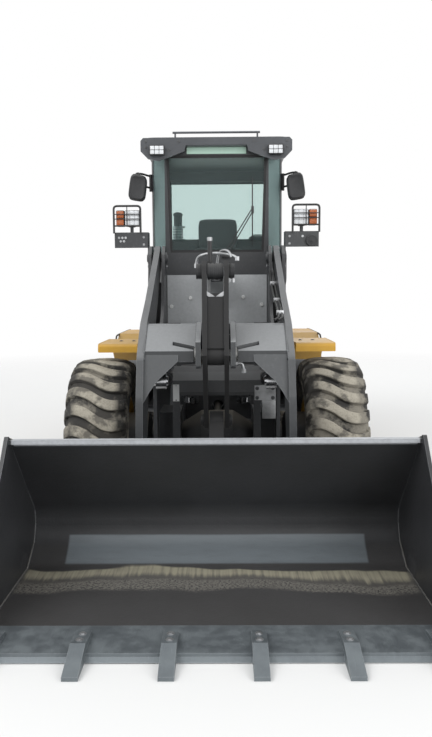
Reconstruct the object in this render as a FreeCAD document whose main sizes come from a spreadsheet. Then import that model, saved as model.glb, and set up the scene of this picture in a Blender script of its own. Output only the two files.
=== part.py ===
"""Compact articulated wheel loader, millimetres, +Z up, the machine faces -Y, +X is its left side.

The origin lies on the ground in the middle of the machine's outline. Lengths along the machine are
measured backwards from the front axle, and back() turns such a length into a place along Y.
"""

import FreeCAD, Part
import math
import os
import Sketcher
from FreeCAD import Placement, Rotation, Vector

doc = FreeCAD.newDocument("WheelLoader")
sheet = doc.addObject("Spreadsheet::Sheet", "Dims")
PIECES = []


class Size:
    """A length or angle that knows its number and the expression it comes from."""

    def __init__(self, value, text):
        self.value = float(value)
        self.text = text

    def __add__(self, other):
        other = as_size(other)
        return Size(self.value + other.value, f"({self.text} + {other.text})")

    def __sub__(self, other):
        other = as_size(other)
        return Size(self.value - other.value, f"({self.text} - {other.text})")

    def __mul__(self, other):
        other = as_size(other)
        return Size(self.value * other.value, f"({self.text} * {other.text})")

    def __truediv__(self, other):
        other = as_size(other)
        return Size(self.value / other.value, f"({self.text} / {other.text})")

    def __neg__(self):
        return Size(-self.value, f"(-1 * {self.text})")

    def __radd__(self, other):
        return as_size(other) + self

    def __rsub__(self, other):
        return as_size(other) - self

    def __rmul__(self, other):
        return as_size(other) * self


def as_size(item):
    return item if isinstance(item, Size) else Size(item, f"({item})")


def root(item):
    item = as_size(item)
    return Size(math.sqrt(item.value), f"sqrt({item.text})")


def sine(angle):
    angle = as_size(angle)
    return Size(math.sin(math.radians(angle.value)), f"sin({angle.text})")


def cosine(angle):
    angle = as_size(angle)
    return Size(math.cos(math.radians(angle.value)), f"cos({angle.text})")


def heading(rise, run):
    """Angle in degrees of a slope with this rise and run."""
    rise, run = as_size(rise), as_size(run)
    return Size(math.degrees(math.atan2(rise.value, run.value)), f"(atan2({rise.text}; {run.text}) / 1 deg)")


class Table:
    """The named sizes: each one is a cell of the sheet with its own alias."""

    count = 0

    def add(self, **values):
        for name, value in values.items():
            self.count += 1
            sheet.set(f"A{self.count}", name)
            sheet.set(f"B{self.count}", str(value))
            sheet.setAlias(f"B{self.count}", name)
            setattr(self, name, Size(value, f"Dims.{name}"))


d = Table()


def bind(item, path, value):
    item.setExpression(path, as_size(value).text)


def place(item, x=0, y=0, z=0):
    for axis, value in (("x", x), ("y", y), ("z", z)):
        bind(item, f"Placement.Base.{axis}", value)
    return item


def box(name, x, y, z):
    """Block between two places along each axis."""
    item = doc.addObject("Part::Box", name)
    for path, (low, high) in (("Length", x), ("Width", y), ("Height", z)):
        bind(item, path, as_size(high) - low)
    return place(item, x[0], y[0], z[0])


TURN = {"X": Rotation(Vector(0, 1, 0), 90), "Y": Rotation(Vector(1, 0, 0), -90), "Z": Rotation()}


def bar(name, axis, radius, span, centre):
    """Round bar along one axis, from span[0] to span[1], centre gives its other two places."""
    item = doc.addObject("Part::Cylinder", name)
    bind(item, "Radius", radius)
    bind(item, "Height", as_size(span[1]) - span[0])
    item.Placement = Placement(Vector(), TURN[axis])
    spots = {"X": (span[0], *centre), "Y": (centre[0], span[0], centre[1]), "Z": (*centre, span[0])}
    return place(item, *spots[axis])


def strut(name, start, end, radius, reach):
    """Round bar on the line from start to end, between two distances from start."""
    run = [as_size(b) - a for a, b in zip(start, end)]
    flat = root(run[0] * run[0] + run[1] * run[1])
    length = root(flat * flat + run[2] * run[2])
    item = doc.addObject("Part::Cylinder", name)
    bind(item, "Radius", radius)
    bind(item, "Height", as_size(reach[1]) - reach[0])
    bind(item, "Placement.Rotation.Axis.x", -run[1] / length)
    bind(item, "Placement.Rotation.Axis.y", run[0] / length)
    bind(item, "Placement.Rotation.Axis.z", 0)
    bind(item, "Placement.Rotation.Angle", heading(flat, run[2]))
    spot = [as_size(a) + r * reach[0] / length for a, r in zip(start, run)]
    return place(item, *spot)


def draw(sketch, corners, holes=()):
    """Closed outline through the corners (place, place[, fillet radius]) and round holes in it."""
    spots = [Vector(as_size(c[0]).value, as_size(c[1]).value, 0) for c in corners]
    count = len(corners)
    ends = []
    arcs = []
    for i, corner in enumerate(corners):
        here, before, after = spots[i], spots[i - 1], spots[(i + 1) % count]
        if len(corner) < 3:
            ends.append((here, here))
            arcs.append(None)
            continue
        to_before = (before - here).normalize()
        to_after = (after - here).normalize()
        half = to_before.getAngle(to_after) / 2
        radius = as_size(corner[2]).value
        reach = radius / math.tan(half)
        ends.append((here + to_before * reach, here + to_after * reach))
        middle = here + (to_before + to_after).normalize() * (radius / math.sin(half))
        arcs.append((middle, radius, to_before.cross(to_after).z > 0))
    lines = []
    for i in range(count):
        lines.append(sketch.addGeometry(Part.LineSegment(ends[i][1], ends[(i + 1) % count][0]), False))
    for i, corner in enumerate(corners):
        before, after = lines[i - 1], lines[i]
        if arcs[i] is None:
            sketch.addConstraint(Sketcher.Constraint("Coincident", before, 2, after, 1))
            point = (after, 1)
        else:
            middle, radius, clockwise = arcs[i]
            first, last = ends[i]
            a = math.atan2(first.y - middle.y, first.x - middle.x)
            b = math.atan2(last.y - middle.y, last.x - middle.x)
            circle = Part.Circle(middle, Vector(0, 0, 1), radius)
            near, far = (b, a) if clockwise else (a, b)
            arc = sketch.addGeometry(Part.ArcOfCircle(circle, near, far), False)
            start, stop = (2, 1) if clockwise else (1, 2)
            sketch.addConstraint(Sketcher.Constraint("Tangent", before, 2, arc, start))
            sketch.addConstraint(Sketcher.Constraint("Tangent", after, 1, arc, stop))
            mark = sketch.addConstraint(Sketcher.Constraint("Radius", arc, radius))
            bind(sketch, f"Constraints[{mark}]", corner[2])
            corner_point = sketch.addGeometry(Part.Point(spots[i]), True)
            sketch.addConstraint(Sketcher.Constraint("PointOnObject", corner_point, 1, before))
            sketch.addConstraint(Sketcher.Constraint("PointOnObject", corner_point, 1, after))
            point = (corner_point, 1)
        hold(sketch, point, corner)
    for hole in holes:
        middle = Vector(as_size(hole[0]).value, as_size(hole[1]).value, 0)
        radius = as_size(hole[2]).value
        circle = sketch.addGeometry(Part.Circle(middle, Vector(0, 0, 1), radius), False)
        mark = sketch.addConstraint(Sketcher.Constraint("Radius", circle, radius))
        bind(sketch, f"Constraints[{mark}]", hole[2])
        hold(sketch, (circle, 3), hole)


def hold(sketch, point, spot):
    """Fixes a sketch point at its two places from the sketch's origin."""
    for kind, value in zip(("DistanceX", "DistanceY"), spot[:2]):
        value = as_size(value)
        mark = sketch.addConstraint(Sketcher.Constraint(kind, -1, 1, *point, value.value))
        bind(sketch, f"Constraints[{mark}]", value)


def sketch_on(body, plane, offset, corners, holes=()):
    sketch = body.newObject("Sketcher::SketchObject", body.Name + "Outline")
    base = [f for f in body.Origin.OriginFeatures if f.Role == plane + "_Plane"][0]
    sketch.AttachmentSupport = [(base, "")]
    sketch.MapMode = "FlatFace"
    bind(sketch, "AttachmentOffset.Base.z", offset)
    draw(sketch, corners, holes)
    return sketch


def profile(name, plane, span, corners, holes=()):
    """Plate of a drawn outline: YZ runs along X, XY along Z, XZ along Y, from span[0] to span[1]."""
    body = doc.addObject("PartDesign::Body", name)
    low, high = as_size(span[0]), as_size(span[1])
    offset = -high if plane == "XZ" else low
    sketch = sketch_on(body, plane, offset, corners, holes)
    pad = body.newObject("PartDesign::Pad", name + "Pad")
    pad.Profile = sketch
    bind(pad, "Length", high - low)
    return body


def turned(name, corners):
    """Ring or disc turned about the X axis: each corner is (place along X, radius)."""
    body = doc.addObject("PartDesign::Body", name)
    sketch = sketch_on(body, "XY", 0, corners)
    ring = body.newObject("PartDesign::Revolution", name + "Turn")
    ring.Profile = sketch
    ring.ReferenceAxis = (sketch, ["H_Axis"])
    ring.Angle = 360
    return body


def fuse(name, *items):
    item = doc.addObject("Part::MultiFuse", name)
    item.Shapes = list(items)
    item.Refine = True
    return item


def cut(name, base, *tools):
    item = doc.addObject("Part::Cut", name)
    item.Base = base
    item.Tool = tools[0] if len(tools) == 1 else fuse(name + "Tools", *tools)
    item.Refine = True
    return item


def mirror(name, source):
    """The same piece on the other side of the machine."""
    item = doc.addObject("Part::Mirroring", name)
    item.Source = source
    item.Normal = Vector(1, 0, 0)
    return item


def group(name, *items):
    """Like pieces that share a node without touching."""
    item = doc.addObject("Part::Compound", name)
    item.Links = list(items)
    return item


def both(name, source):
    return group(name, source, mirror(name + "Right", source))


def whole(name, source):
    """A piece fused with its own mirror image."""
    return fuse(name, source, mirror(name + "Right", source))


def keep(label, item):
    item.Label = label
    PIECES.append((label, item))
    return item


# Machine layout: axles, tracks, the steering pivot and the clearances used everywhere.
d.add(wheelbase=2250, tooth_reach=2330, rear_reach=3480)
d.add(tyre_radius=540, tyre_width=410, track=1580)
d.add(pin_gap=0.3, seat_gap=0.3, run_gap=6, plate=25)
front_axle_y = (d.tooth_reach - d.rear_reach) / 2
pivot_back = d.wheelbase / 2
axle_z = d.tyre_radius


def back(length):
    return front_axle_y + length


# Tyres: a carcass with one flat for each lug, with wavy bars across the tread and over the shoulders.
d.add(rim_radius=262, rim_cover=6, lug_height=28, sidewall_bulge=12, shoulder_width=70, lug_count=24)
d.add(lug_band=78, lug_wave=50, lug_peak=0.27, lug_trough=0.66, lug_depth=84, shoulder_drop=62)
half_tyre = d.tyre_width / 2
carcass_radius = d.tyre_radius - d.lug_height
rim_half = half_tyre - d.shoulder_width / 2
flat_turn = as_size(180) / d.lug_count


def flat_ring(name, x, radius):
    """Ring with one side for each lug, across the axle at x; radius is measured to its flats."""
    item = doc.addObject("Part::RegularPolygon", name)
    bind(item, "Polygon", d.lug_count)
    bind(item, "Circumradius", radius / cosine(flat_turn))
    item.Placement = Placement(Vector(), TURN["X"] * Rotation(Vector(0, 0, 1), flat_turn.value))
    return place(item, x)


def flat_loft(name, rings):
    item = doc.addObject("Part::Loft", name)
    item.Sections = [flat_ring(f"{name}Ring{n}", *ring) for n, ring in enumerate(rings)]
    item.Solid = True
    item.Ruled = True
    return item


carcass = cut(
    "TyreCarcass",
    flat_loft("TyreOuter", [
        (-rim_half, d.rim_radius + d.rim_cover),
        (-half_tyre, (d.rim_radius + carcass_radius) / 2),
        (-half_tyre + d.sidewall_bulge, carcass_radius - d.shoulder_drop),
        (-half_tyre + d.shoulder_width, carcass_radius),
        (half_tyre - d.shoulder_width, carcass_radius),
        (half_tyre - d.sidewall_bulge, carcass_radius - d.shoulder_drop),
        (half_tyre, (d.rim_radius + carcass_radius) / 2),
        (rim_half, d.rim_radius + d.rim_cover),
    ]),
    flat_loft("TyreBore", [(-half_tyre, d.rim_radius), (half_tyre, d.rim_radius)]),
)
tyre = doc.addObject("PartDesign::Body", "Tyre")
tyre.BaseFeature = carcass
crest = (d.lug_band + d.lug_wave) / 2
dip = (d.lug_band - d.lug_wave) / 2
lug_sketch = sketch_on(tyre, "XY", d.tyre_radius - d.lug_depth, [
    (-half_tyre + d.sidewall_bulge, -crest),
    (-half_tyre + d.tyre_width * d.lug_peak, -dip),
    (-half_tyre + d.tyre_width * d.lug_trough, -crest),
    (half_tyre - d.sidewall_bulge, -dip),
    (half_tyre - d.sidewall_bulge, crest),
    (-half_tyre + d.tyre_width * d.lug_trough, dip),
    (-half_tyre + d.tyre_width * d.lug_peak, crest),
    (-half_tyre + d.sidewall_bulge, dip),
])
lug = tyre.newObject("PartDesign::Pad", "TyreLug")
lug.Profile = lug_sketch
bind(lug, "Length", d.lug_depth)
lugs = tyre.newObject("PartDesign::PolarPattern", "TyreLugs")
lugs.Originals = [lug]
lugs.Axis = ([f for f in tyre.Origin.OriginFeatures if f.Role == "X_Axis"][0], [""])
lugs.Angle = 360
bind(lugs, "Occurrences", d.lug_count)
tyre.Tip = lugs

# Rims: a deep dish with a hub face that runs on the axle's spindle.
d.add(rim_lip=22, rim_wall=12, rim_well=40, dish_x=60, dish_plate=16, hub_radius=95, hub_depth=46)
d.add(spindle_radius=62, dish_shoulder=175)
bead = d.rim_radius - d.seat_gap
rim = turned("RimTurned", [
    (-rim_half, bead),
    (rim_half, bead),
    (rim_half, bead - d.rim_wall),
    (d.dish_x + d.rim_well, bead - d.rim_wall),
    (d.dish_x + d.dish_plate, d.dish_shoulder),
    (d.dish_x + d.dish_plate, d.hub_radius),
    (d.dish_x + d.hub_depth, d.hub_radius),
    (d.dish_x + d.hub_depth, d.spindle_radius + d.pin_gap),
    (d.dish_x, d.spindle_radius + d.pin_gap),
    (d.dish_x, d.dish_shoulder),
    (d.dish_x + d.rim_well - d.dish_plate, bead - d.rim_wall),
    (-rim_half, bead - d.rim_wall),
])
for place_name, side, axle in (
    ("front_left", 1, 0), ("front_right", -1, 0),
    ("rear_left", 1, d.wheelbase), ("rear_right", -1, d.wheelbase),
):
    title = place_name.title().replace("_", "")
    shape = group("Tyre" + title, tyre)
    place(shape, side * d.track / 2, back(axle), axle_z)
    keep("tyre_" + place_name, shape)
    source = rim if side > 0 else mirror("Rim" + title + "Turned", rim)
    shape = group("Rim" + title, source)
    place(shape, side * d.track / 2, back(axle), axle_z)
    keep("rim_" + place_name, shape)

# Axles: a round centre case, tapered tubes out to the hub drums and the wheel spindles.
d.add(case_radius=165, case_half=110, tube_radius=78, drum_radius=150, drum_in=455, neck=250)


def axle(name, y):
    hub_face = d.track / 2 + d.dish_x - d.run_gap
    half = turned(name + "Half", [
        (0, 0),
        (0, d.case_radius),
        (d.case_half, d.case_radius),
        (d.neck, d.tube_radius),
        (d.drum_in, d.tube_radius),
        (d.drum_in + d.plate, d.drum_radius),
        (hub_face - d.plate, d.drum_radius),
        (hub_face, d.drum_radius - d.plate),
        (hub_face, d.spindle_radius),
        (hub_face + d.hub_depth, d.spindle_radius),
        (hub_face + d.hub_depth, 0),
    ])
    return place(whole(name, half), 0, y, axle_z)


d.add(nose_radius=62, nose_long=260, shaft_radius=28, shaft_z=600, yoke_radius=42, yoke_long=60, yoke_gap=58)
front_nose = bar("FrontNose", "Y", d.nose_radius, (back(0), back(d.nose_long)), (0, d.shaft_z))
front_shaft = bar("FrontShaft", "Y", d.shaft_radius, (back(0), back(pivot_back - d.yoke_gap)), (0, d.shaft_z))
front_yoke = bar(
    "FrontYoke", "Y", d.yoke_radius,
    (back(pivot_back - d.yoke_gap - d.yoke_long), back(pivot_back - d.yoke_gap)), (0, d.shaft_z),
)
keep("front_axle", fuse("FrontAxleSolid", axle("FrontAxle", back(0)), front_nose, front_shaft, front_yoke))
rear_nose = bar("RearNose", "Y", d.nose_radius, (back(d.wheelbase - d.nose_long), back(d.wheelbase)), (0, d.shaft_z))
keep("rear_axle", fuse("RearAxleSolid", axle("RearAxle", back(d.wheelbase)), rear_nose))

# Pins of the loader linkage, seen from the side: lengths behind the front axle and heights.
d.add(boom_pin_back=590, boom_pin_z=1800, bucket_pin_ahead=850, bucket_pin_z=285)
d.add(rocker_pin_ahead=700, rocker_pin_z=1165, rocker_top_ahead=680, rocker_top_z=1665)
d.add(rocker_toe_ahead=474, rocker_toe_z=719, bucket_lug_ahead=948, bucket_lug_z=430)
d.add(tilt_foot_back=509, tilt_foot_z=1672, lift_foot_back=900, lift_foot_z=850)
d.add(lift_eye_ahead=550, lift_eye_z=985, pin_radius=32)
boom_pin = (back(d.boom_pin_back), d.boom_pin_z)
bucket_pin = (back(-d.bucket_pin_ahead), d.bucket_pin_z)
rocker_pin = (back(-d.rocker_pin_ahead), d.rocker_pin_z)
rocker_top = (back(-d.rocker_top_ahead), d.rocker_top_z)
rocker_toe = (back(-d.rocker_toe_ahead), d.rocker_toe_z)
bucket_lug = (back(-d.bucket_lug_ahead), d.bucket_lug_z)
tilt_foot = (back(d.tilt_foot_back), d.tilt_foot_z)
lift_foot = (back(d.lift_foot_back), d.lift_foot_z)
lift_eye = (back(-d.lift_eye_ahead), d.lift_eye_z)
bore = d.pin_radius + d.pin_gap

# Boom: two bent plate arms joined by a box crossbeam that carries the rocker's bracket.
d.add(boom_out=477, boom_plate=42, heel_radius=92, toe_radius=72, bend=220, bend_small=120)
d.add(shoulder_ahead=190, shoulder_z=1490, knee_ahead=520, knee_z=1345, brow_ahead=735, brow_z=1165)
d.add(shin_ahead=830, shin_z=900, toe_depth=150, calf_ahead=560, calf_z=760, elbow_ahead=430)
d.add(elbow_z=985, armpit_ahead=120, armpit_z=1155)
d.add(beam_front_ahead=735, beam_back_ahead=455, beam_top_z=1352, beam_deep=190, beam_wall=22, bridge_drop=80)
d.add(bracket_gap=90, bracket_plate=30, bracket_radius=80)
boom_in = d.boom_out - d.boom_plate
arm_plate = profile("ArmPlate", "YZ", (boom_in, d.boom_out), [
    (boom_pin[0], boom_pin[1] + d.heel_radius),
    (back(-d.shoulder_ahead), d.shoulder_z, d.bend),
    (back(-d.knee_ahead), d.knee_z, d.bend),
    (back(-d.brow_ahead), d.brow_z, d.bend_small),
    (back(-d.shin_ahead), d.shin_z, d.bend),
    (bucket_pin[0] - d.toe_radius, bucket_pin[1]),
    (bucket_pin[0] + d.toe_radius, bucket_pin[1]),
    (back(-d.calf_ahead), d.calf_z, d.bend),
    (back(-d.elbow_ahead), d.elbow_z, d.bend_small),
    (back(-d.armpit_ahead), d.armpit_z, d.bend),
    (boom_pin[0], boom_pin[1] - d.heel_radius),
])
arm = fuse(
    "ArmSolid",
    arm_plate,
    bar("ArmHeel", "X", d.heel_radius, (boom_in, d.boom_out), boom_pin),
    bar("ArmToe", "X", d.toe_radius, (boom_in, d.boom_out), bucket_pin),
)
arm = cut(
    "ArmBored", arm,
    bar("ArmHeelBore", "X", bore, (boom_in - d.plate, d.boom_out + d.plate), boom_pin),
    bar("ArmToeBore", "X", bore, (boom_in - d.plate, d.boom_out + d.plate), bucket_pin),
)
beam = profile("BeamBox", "YZ", (-boom_in, boom_in), [
    (back(-d.beam_back_ahead), d.beam_top_z, d.beam_wall),
    (back(-d.knee_ahead), d.beam_top_z - d.beam_wall),
    (back(-d.beam_front_ahead) + d.beam_wall, d.brow_z + d.beam_wall),
    (back(-d.beam_front_ahead) + d.beam_wall, d.brow_z - d.beam_wall * 2),
    (back(-d.beam_back_ahead) - d.beam_wall * 2, d.beam_top_z - d.beam_deep),
    (back(-d.beam_back_ahead), d.beam_top_z - d.beam_deep + d.beam_wall),
])
rocker_slot = box(
    "RockerSlot", (-d.bracket_gap, d.bracket_gap),
    (back(-d.beam_front_ahead) - d.plate, back(-d.beam_back_ahead) + d.plate),
    (d.brow_z - d.beam_deep * 2, d.beam_top_z + d.plate),
)
bracket = profile("RockerBracket", "YZ", (d.bracket_gap, d.bracket_gap + d.bracket_plate), [
    (back(-d.beam_back_ahead), d.beam_top_z),
    (back(-d.knee_ahead), d.beam_top_z),
    (rocker_pin[0] - d.bracket_radius, rocker_pin[1] + d.bracket_radius),
    (rocker_pin[0] - d.bracket_radius, rocker_pin[1] - d.bracket_radius, d.beam_wall),
    (rocker_pin[0] + d.bracket_radius, rocker_pin[1] - d.bracket_radius, d.beam_wall),
    (back(-d.beam_back_ahead), d.beam_top_z - d.beam_deep),
], [(rocker_pin[0], rocker_pin[1], bore)])
bridge = profile("BeamBridge", "YZ", (-d.bracket_gap, d.bracket_gap), [
    (back(-d.beam_back_ahead), d.beam_top_z - d.bridge_drop),
    (back(-d.beam_back_ahead) - d.beam_wall * 2, d.beam_top_z - d.bridge_drop),
    (back(-d.beam_back_ahead) - d.beam_wall * 2, d.beam_top_z - d.beam_deep),
    (back(-d.beam_back_ahead), d.beam_top_z - d.beam_deep + d.beam_wall),
])
# The shin plate below the crossbeam leaves an arch open, and two slots run across the beam's front slope.
d.add(shin_sheet=14, shin_low_z=870, arch_half=230, arch_top_z=1127, arch_bend_half=270, arch_bend_z=1089)
d.add(arch_waist_half=355, arch_waist_z=1010, arch_knee_half=400, arch_knee_z=945)
d.add(slot_in=130, slot_in_behind=22, slot_out=265, slot_out_behind=58, slot_half=14)
beam_front = back(-d.beam_front_ahead) + d.beam_wall
shin_foot = back(-d.shin_ahead) + d.beam_wall
shin_plate = cut(
    "ShinPlate",
    profile("ShinStrip", "YZ", (-boom_in, boom_in), [
        (beam_front, d.brow_z),
        (beam_front + d.shin_sheet, d.brow_z),
        (shin_foot + d.shin_sheet, d.shin_low_z),
        (shin_foot, d.shin_low_z),
    ]),
    profile("ShinArch", "XZ", (shin_foot - d.plate, beam_front + d.plate * 2), [
        (-boom_in, d.shin_low_z - d.plate),
        (-boom_in, d.shin_low_z + d.plate / 2),
        (-d.arch_knee_half, d.arch_knee_z, d.bend_small),
        (-d.arch_waist_half, d.arch_waist_z),
        (-d.arch_bend_half, d.arch_bend_z),
        (-d.arch_half, d.arch_top_z),
        (-d.arch_half, d.brow_z + d.plate),
        (d.arch_half, d.brow_z + d.plate),
        (d.arch_half, d.arch_top_z),
        (d.arch_bend_half, d.arch_bend_z),
        (d.arch_waist_half, d.arch_waist_z),
        (d.arch_knee_half, d.arch_knee_z, d.bend_small),
        (boom_in, d.shin_low_z + d.plate / 2),
        (boom_in, d.shin_low_z - d.plate),
    ]),
)
beam_slot = profile("BeamSlot", "XY", (d.brow_z - d.beam_wall, d.beam_top_z), [
    (d.slot_in, beam_front + d.slot_in_behind - d.slot_half),
    (d.slot_out, beam_front + d.slot_out_behind - d.slot_half),
    (d.slot_out, beam_front + d.slot_out_behind + d.slot_half),
    (d.slot_in, beam_front + d.slot_in_behind + d.slot_half),
])
d.add(pin_cap=10)
pin_end = d.bracket_gap + d.bracket_plate
cap_pocket = bar(
    "RockerCapPocket", "X", d.pin_radius + d.pin_cap + d.run_gap,
    (pin_end, pin_end + d.pin_cap + d.run_gap), rocker_pin,
)
boom = cut(
    "BoomSolid",
    fuse(
        "BoomFused", arm, mirror("ArmRight", arm), cut("BeamCut", beam, rocker_slot),
        bracket, mirror("BracketRight", bracket), bridge, shin_plate,
    ),
    bar("RockerPinBore", "X", bore, (-pin_end, pin_end), rocker_pin),
    cap_pocket,
    mirror("RockerCapPocketRight", cap_pocket),
    beam_slot,
    mirror("BeamSlotRight", beam_slot),
)
keep("boom", boom)

# Rocker: two side plates round a hub, closed in front above the hub, with a fork at the top.
d.add(rocker_half=80, rocker_plate=28, hub_wall=32, fork_radius=62, rocker_web=20, rocker_deep=86)
d.add(link_half=44, eye_gap=3, web_top_z=1535, web_low_z=1250)
rocker_in = d.rocker_half - d.rocker_plate
rocker_side = profile("RockerSide", "YZ", (rocker_in, d.rocker_half), [
    (rocker_top[0] - d.fork_radius, rocker_top[1] + d.fork_radius / 2, d.rocker_web),
    (rocker_top[0] - d.fork_radius / 2, rocker_top[1] + d.fork_radius),
    (rocker_top[0] + d.fork_radius / 2, rocker_top[1] + d.fork_radius),
    (rocker_top[0] + d.fork_radius, rocker_top[1] + d.fork_radius / 2, d.rocker_web),
    (rocker_pin[0] + d.rocker_deep, rocker_pin[1] + d.hub_wall, d.bend),
    (rocker_toe[0] + d.fork_radius, rocker_toe[1], d.rocker_web),
    (rocker_toe[0], rocker_toe[1] - d.fork_radius, d.rocker_web),
    (rocker_toe[0] - d.fork_radius, rocker_toe[1], d.rocker_web),
    (rocker_pin[0] - d.rocker_deep / 2, rocker_pin[1] - d.rocker_deep),
    (rocker_pin[0] - d.rocker_deep, rocker_pin[1]),
], [(rocker_pin[0], rocker_pin[1], bore)])
rocker_hub = bar("RockerHub", "X", d.pin_radius + d.hub_wall, (-rocker_in, rocker_in), rocker_pin)
rocker_web = profile("RockerWeb", "YZ", (-rocker_in, rocker_in), [
    (rocker_top[0] - d.fork_radius, d.web_top_z),
    (rocker_top[0] - d.fork_radius + d.rocker_web, d.web_top_z),
    (rocker_pin[0] - d.rocker_deep + d.rocker_web * 2, d.web_low_z - d.rocker_deep / 2),
    (rocker_pin[0] - d.rocker_deep + d.rocker_web, d.web_low_z - d.rocker_deep / 2),
])
toe_boss = bar("RockerToeBoss", "X", d.pin_radius + d.pin_cap, (rocker_in, d.rocker_half + d.pin_cap), rocker_toe)
top_boss = bar("RockerTopBoss", "X", d.fork_radius - d.hub_wall / 2, (rocker_in, d.rocker_half + d.pin_cap), rocker_top)
rocker = cut(
    "RockerSolid",
    fuse(
        "RockerFused", rocker_side, mirror("RockerSideRight", rocker_side), rocker_hub, rocker_web,
        top_boss, mirror("RockerTopBossRight", top_boss), toe_boss, mirror("RockerToeBossRight", toe_boss),
    ),
    bar("RockerBore", "X", bore, (-d.rocker_half - d.plate, d.rocker_half + d.plate), rocker_pin),
)
keep("rocker", rocker)
rocker_pin_cap = bar("RockerPinCap", "X", d.pin_radius + d.pin_cap, (pin_end + d.seat_gap, pin_end + d.pin_cap), rocker_pin)
keep("rocker_pin", fuse(
    "RockerPinSolid",
    bar("RockerPinBar", "X", d.pin_radius, (-pin_end - d.pin_cap, pin_end + d.pin_cap), rocker_pin),
    rocker_pin_cap,
    mirror("RockerPinCapRight", rocker_pin_cap),
))

# Tilt link between the rocker's toe and the bucket's upper lugs.
d.add(link_eye=58, link_thick=36, lug_plate=28)
link_run = (bucket_lug[0] - rocker_toe[0], bucket_lug[1] - rocker_toe[1])
link_length = root(link_run[0] * link_run[0] + link_run[1] * link_run[1])
link_side = (-link_run[1] * d.link_thick / link_length, link_run[0] * d.link_thick / link_length)
link_bar = profile("LinkBar", "YZ", (-d.link_half, d.link_half), [
    (rocker_toe[0] + link_side[0], rocker_toe[1] + link_side[1]),
    (bucket_lug[0] + link_side[0], bucket_lug[1] + link_side[1]),
    (bucket_lug[0] - link_side[0], bucket_lug[1] - link_side[1]),
    (rocker_toe[0] - link_side[0], rocker_toe[1] - link_side[1]),
])
keep("tilt_link", cut(
    "LinkSolid",
    fuse(
        "LinkFused", link_bar,
        bar("LinkEyeBack", "X", d.link_eye, (-d.link_half, d.link_half), rocker_toe),
        bar("LinkEyeFront", "X", d.link_eye, (-d.link_half - d.eye_gap, d.link_half + d.eye_gap), bucket_lug),
    ),
    bar("LinkBore", "X", bore, (-d.rocker_half, d.rocker_half), bucket_lug),
))
lug_in = d.link_half + d.eye_gap * 2
lug_end = lug_in + d.lug_plate
d.add(head_radius=58, head_thick=24)
link_cap = bar("LinkPinCap", "X", d.head_radius, (lug_end + d.seat_gap, lug_end + d.head_thick), bucket_lug)
keep("link_pin", fuse(
    "LinkPinSolid",
    bar("LinkPinBar", "X", d.pin_radius, (-lug_end - d.head_thick, lug_end + d.head_thick), bucket_lug),
    link_cap,
    mirror("LinkPinCapRight", link_cap),
))

# Lift cylinders: barrels on feet in the front frame, rods pinned inside the boom arms.
d.add(lift_x=345, lift_barrel=42, lift_rod=26, lift_eye_radius=52, lift_eye_half=32, barrel_foot=60)
d.add(lift_gland=1010, lift_gland_step=6, lift_gland_long=60, lift_rod_start=118)
lift_run = (lift_eye[0] - lift_foot[0], lift_eye[1] - lift_foot[1])
lift_length = root(lift_run[0] * lift_run[0] + lift_run[1] * lift_run[1])
foot_3d = (d.lift_x, *lift_foot)
eye_3d = (d.lift_x, *lift_eye)
lift_span = (d.lift_x - d.lift_eye_half, d.lift_x + d.lift_eye_half)
lift_barrel = cut(
    "LiftBarrelSolid",
    fuse(
        "LiftBarrelFused",
        strut("LiftTube", foot_3d, eye_3d, d.lift_barrel, (0, d.lift_gland)),
        strut("LiftGland", foot_3d, eye_3d, d.lift_barrel + d.lift_gland_step, (d.lift_gland - d.lift_gland_long, d.lift_gland)),
        bar("LiftFoot", "X", d.lift_eye_radius, lift_span, lift_foot),
    ),
    strut("LiftHollow", foot_3d, eye_3d, d.lift_rod + d.pin_gap, (d.barrel_foot + d.lift_eye_radius, d.lift_gland + d.plate)),
    bar("LiftFootBore", "X", bore, (0, d.boom_out), lift_foot),
)
keep("lift_barrels", both("LiftBarrels", lift_barrel))
lift_stub = boom_in - d.seat_gap
lift_rod = fuse(
    "LiftRodSolid",
    strut("LiftRodBar", foot_3d, eye_3d, d.lift_rod, (d.lift_rod_start, lift_length)),
    bar("LiftRodEye", "X", d.lift_eye_radius, lift_span, lift_eye),
    bar("LiftRodPin", "X", d.pin_radius, (d.lift_x - d.lift_eye_half - d.pin_cap, lift_stub), lift_eye),
)
keep("lift_rods", both("LiftRods", lift_rod))

# Tilt cylinder: its foot on the tower, its rod in the rocker's fork.
d.add(tilt_barrel=48, tilt_rod=28, tilt_eye=42, tilt_half=46, tilt_gland=760, tilt_foot_eye=56, tilt_rod_start=252)
foot_3d = (0, *tilt_foot)
eye_3d = (0, *rocker_top)
tilt_run = (rocker_top[0] - tilt_foot[0], rocker_top[1] - tilt_foot[1])
tilt_length = root(tilt_run[0] * tilt_run[0] + tilt_run[1] * tilt_run[1])
keep("tilt_barrel", cut(
    "TiltBarrelSolid",
    fuse(
        "TiltBarrelFused",
        strut("TiltTube", foot_3d, eye_3d, d.tilt_barrel, (0, d.tilt_gland)),
        strut("TiltGland", foot_3d, eye_3d, d.tilt_barrel + d.lift_gland_step, (d.tilt_gland - d.lift_gland_long, d.tilt_gland)),
        bar("TiltFoot", "X", d.tilt_foot_eye, (-d.tilt_half, d.tilt_half), tilt_foot),
    ),
    strut("TiltHollow", foot_3d, eye_3d, d.tilt_rod + d.pin_gap, (d.barrel_foot + d.lift_eye_radius, d.tilt_gland + d.plate)),
    bar("TiltFootBore", "X", bore, (-d.boom_out, d.boom_out), tilt_foot),
))
keep("tilt_rod", fuse(
    "TiltRodSolid",
    strut("TiltRodBar", foot_3d, eye_3d, d.tilt_rod, (d.tilt_rod_start, tilt_length)),
    bar("TiltRodEye", "X", d.tilt_eye, (-rocker_in + d.eye_gap, rocker_in - d.eye_gap), rocker_top),
))

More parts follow.
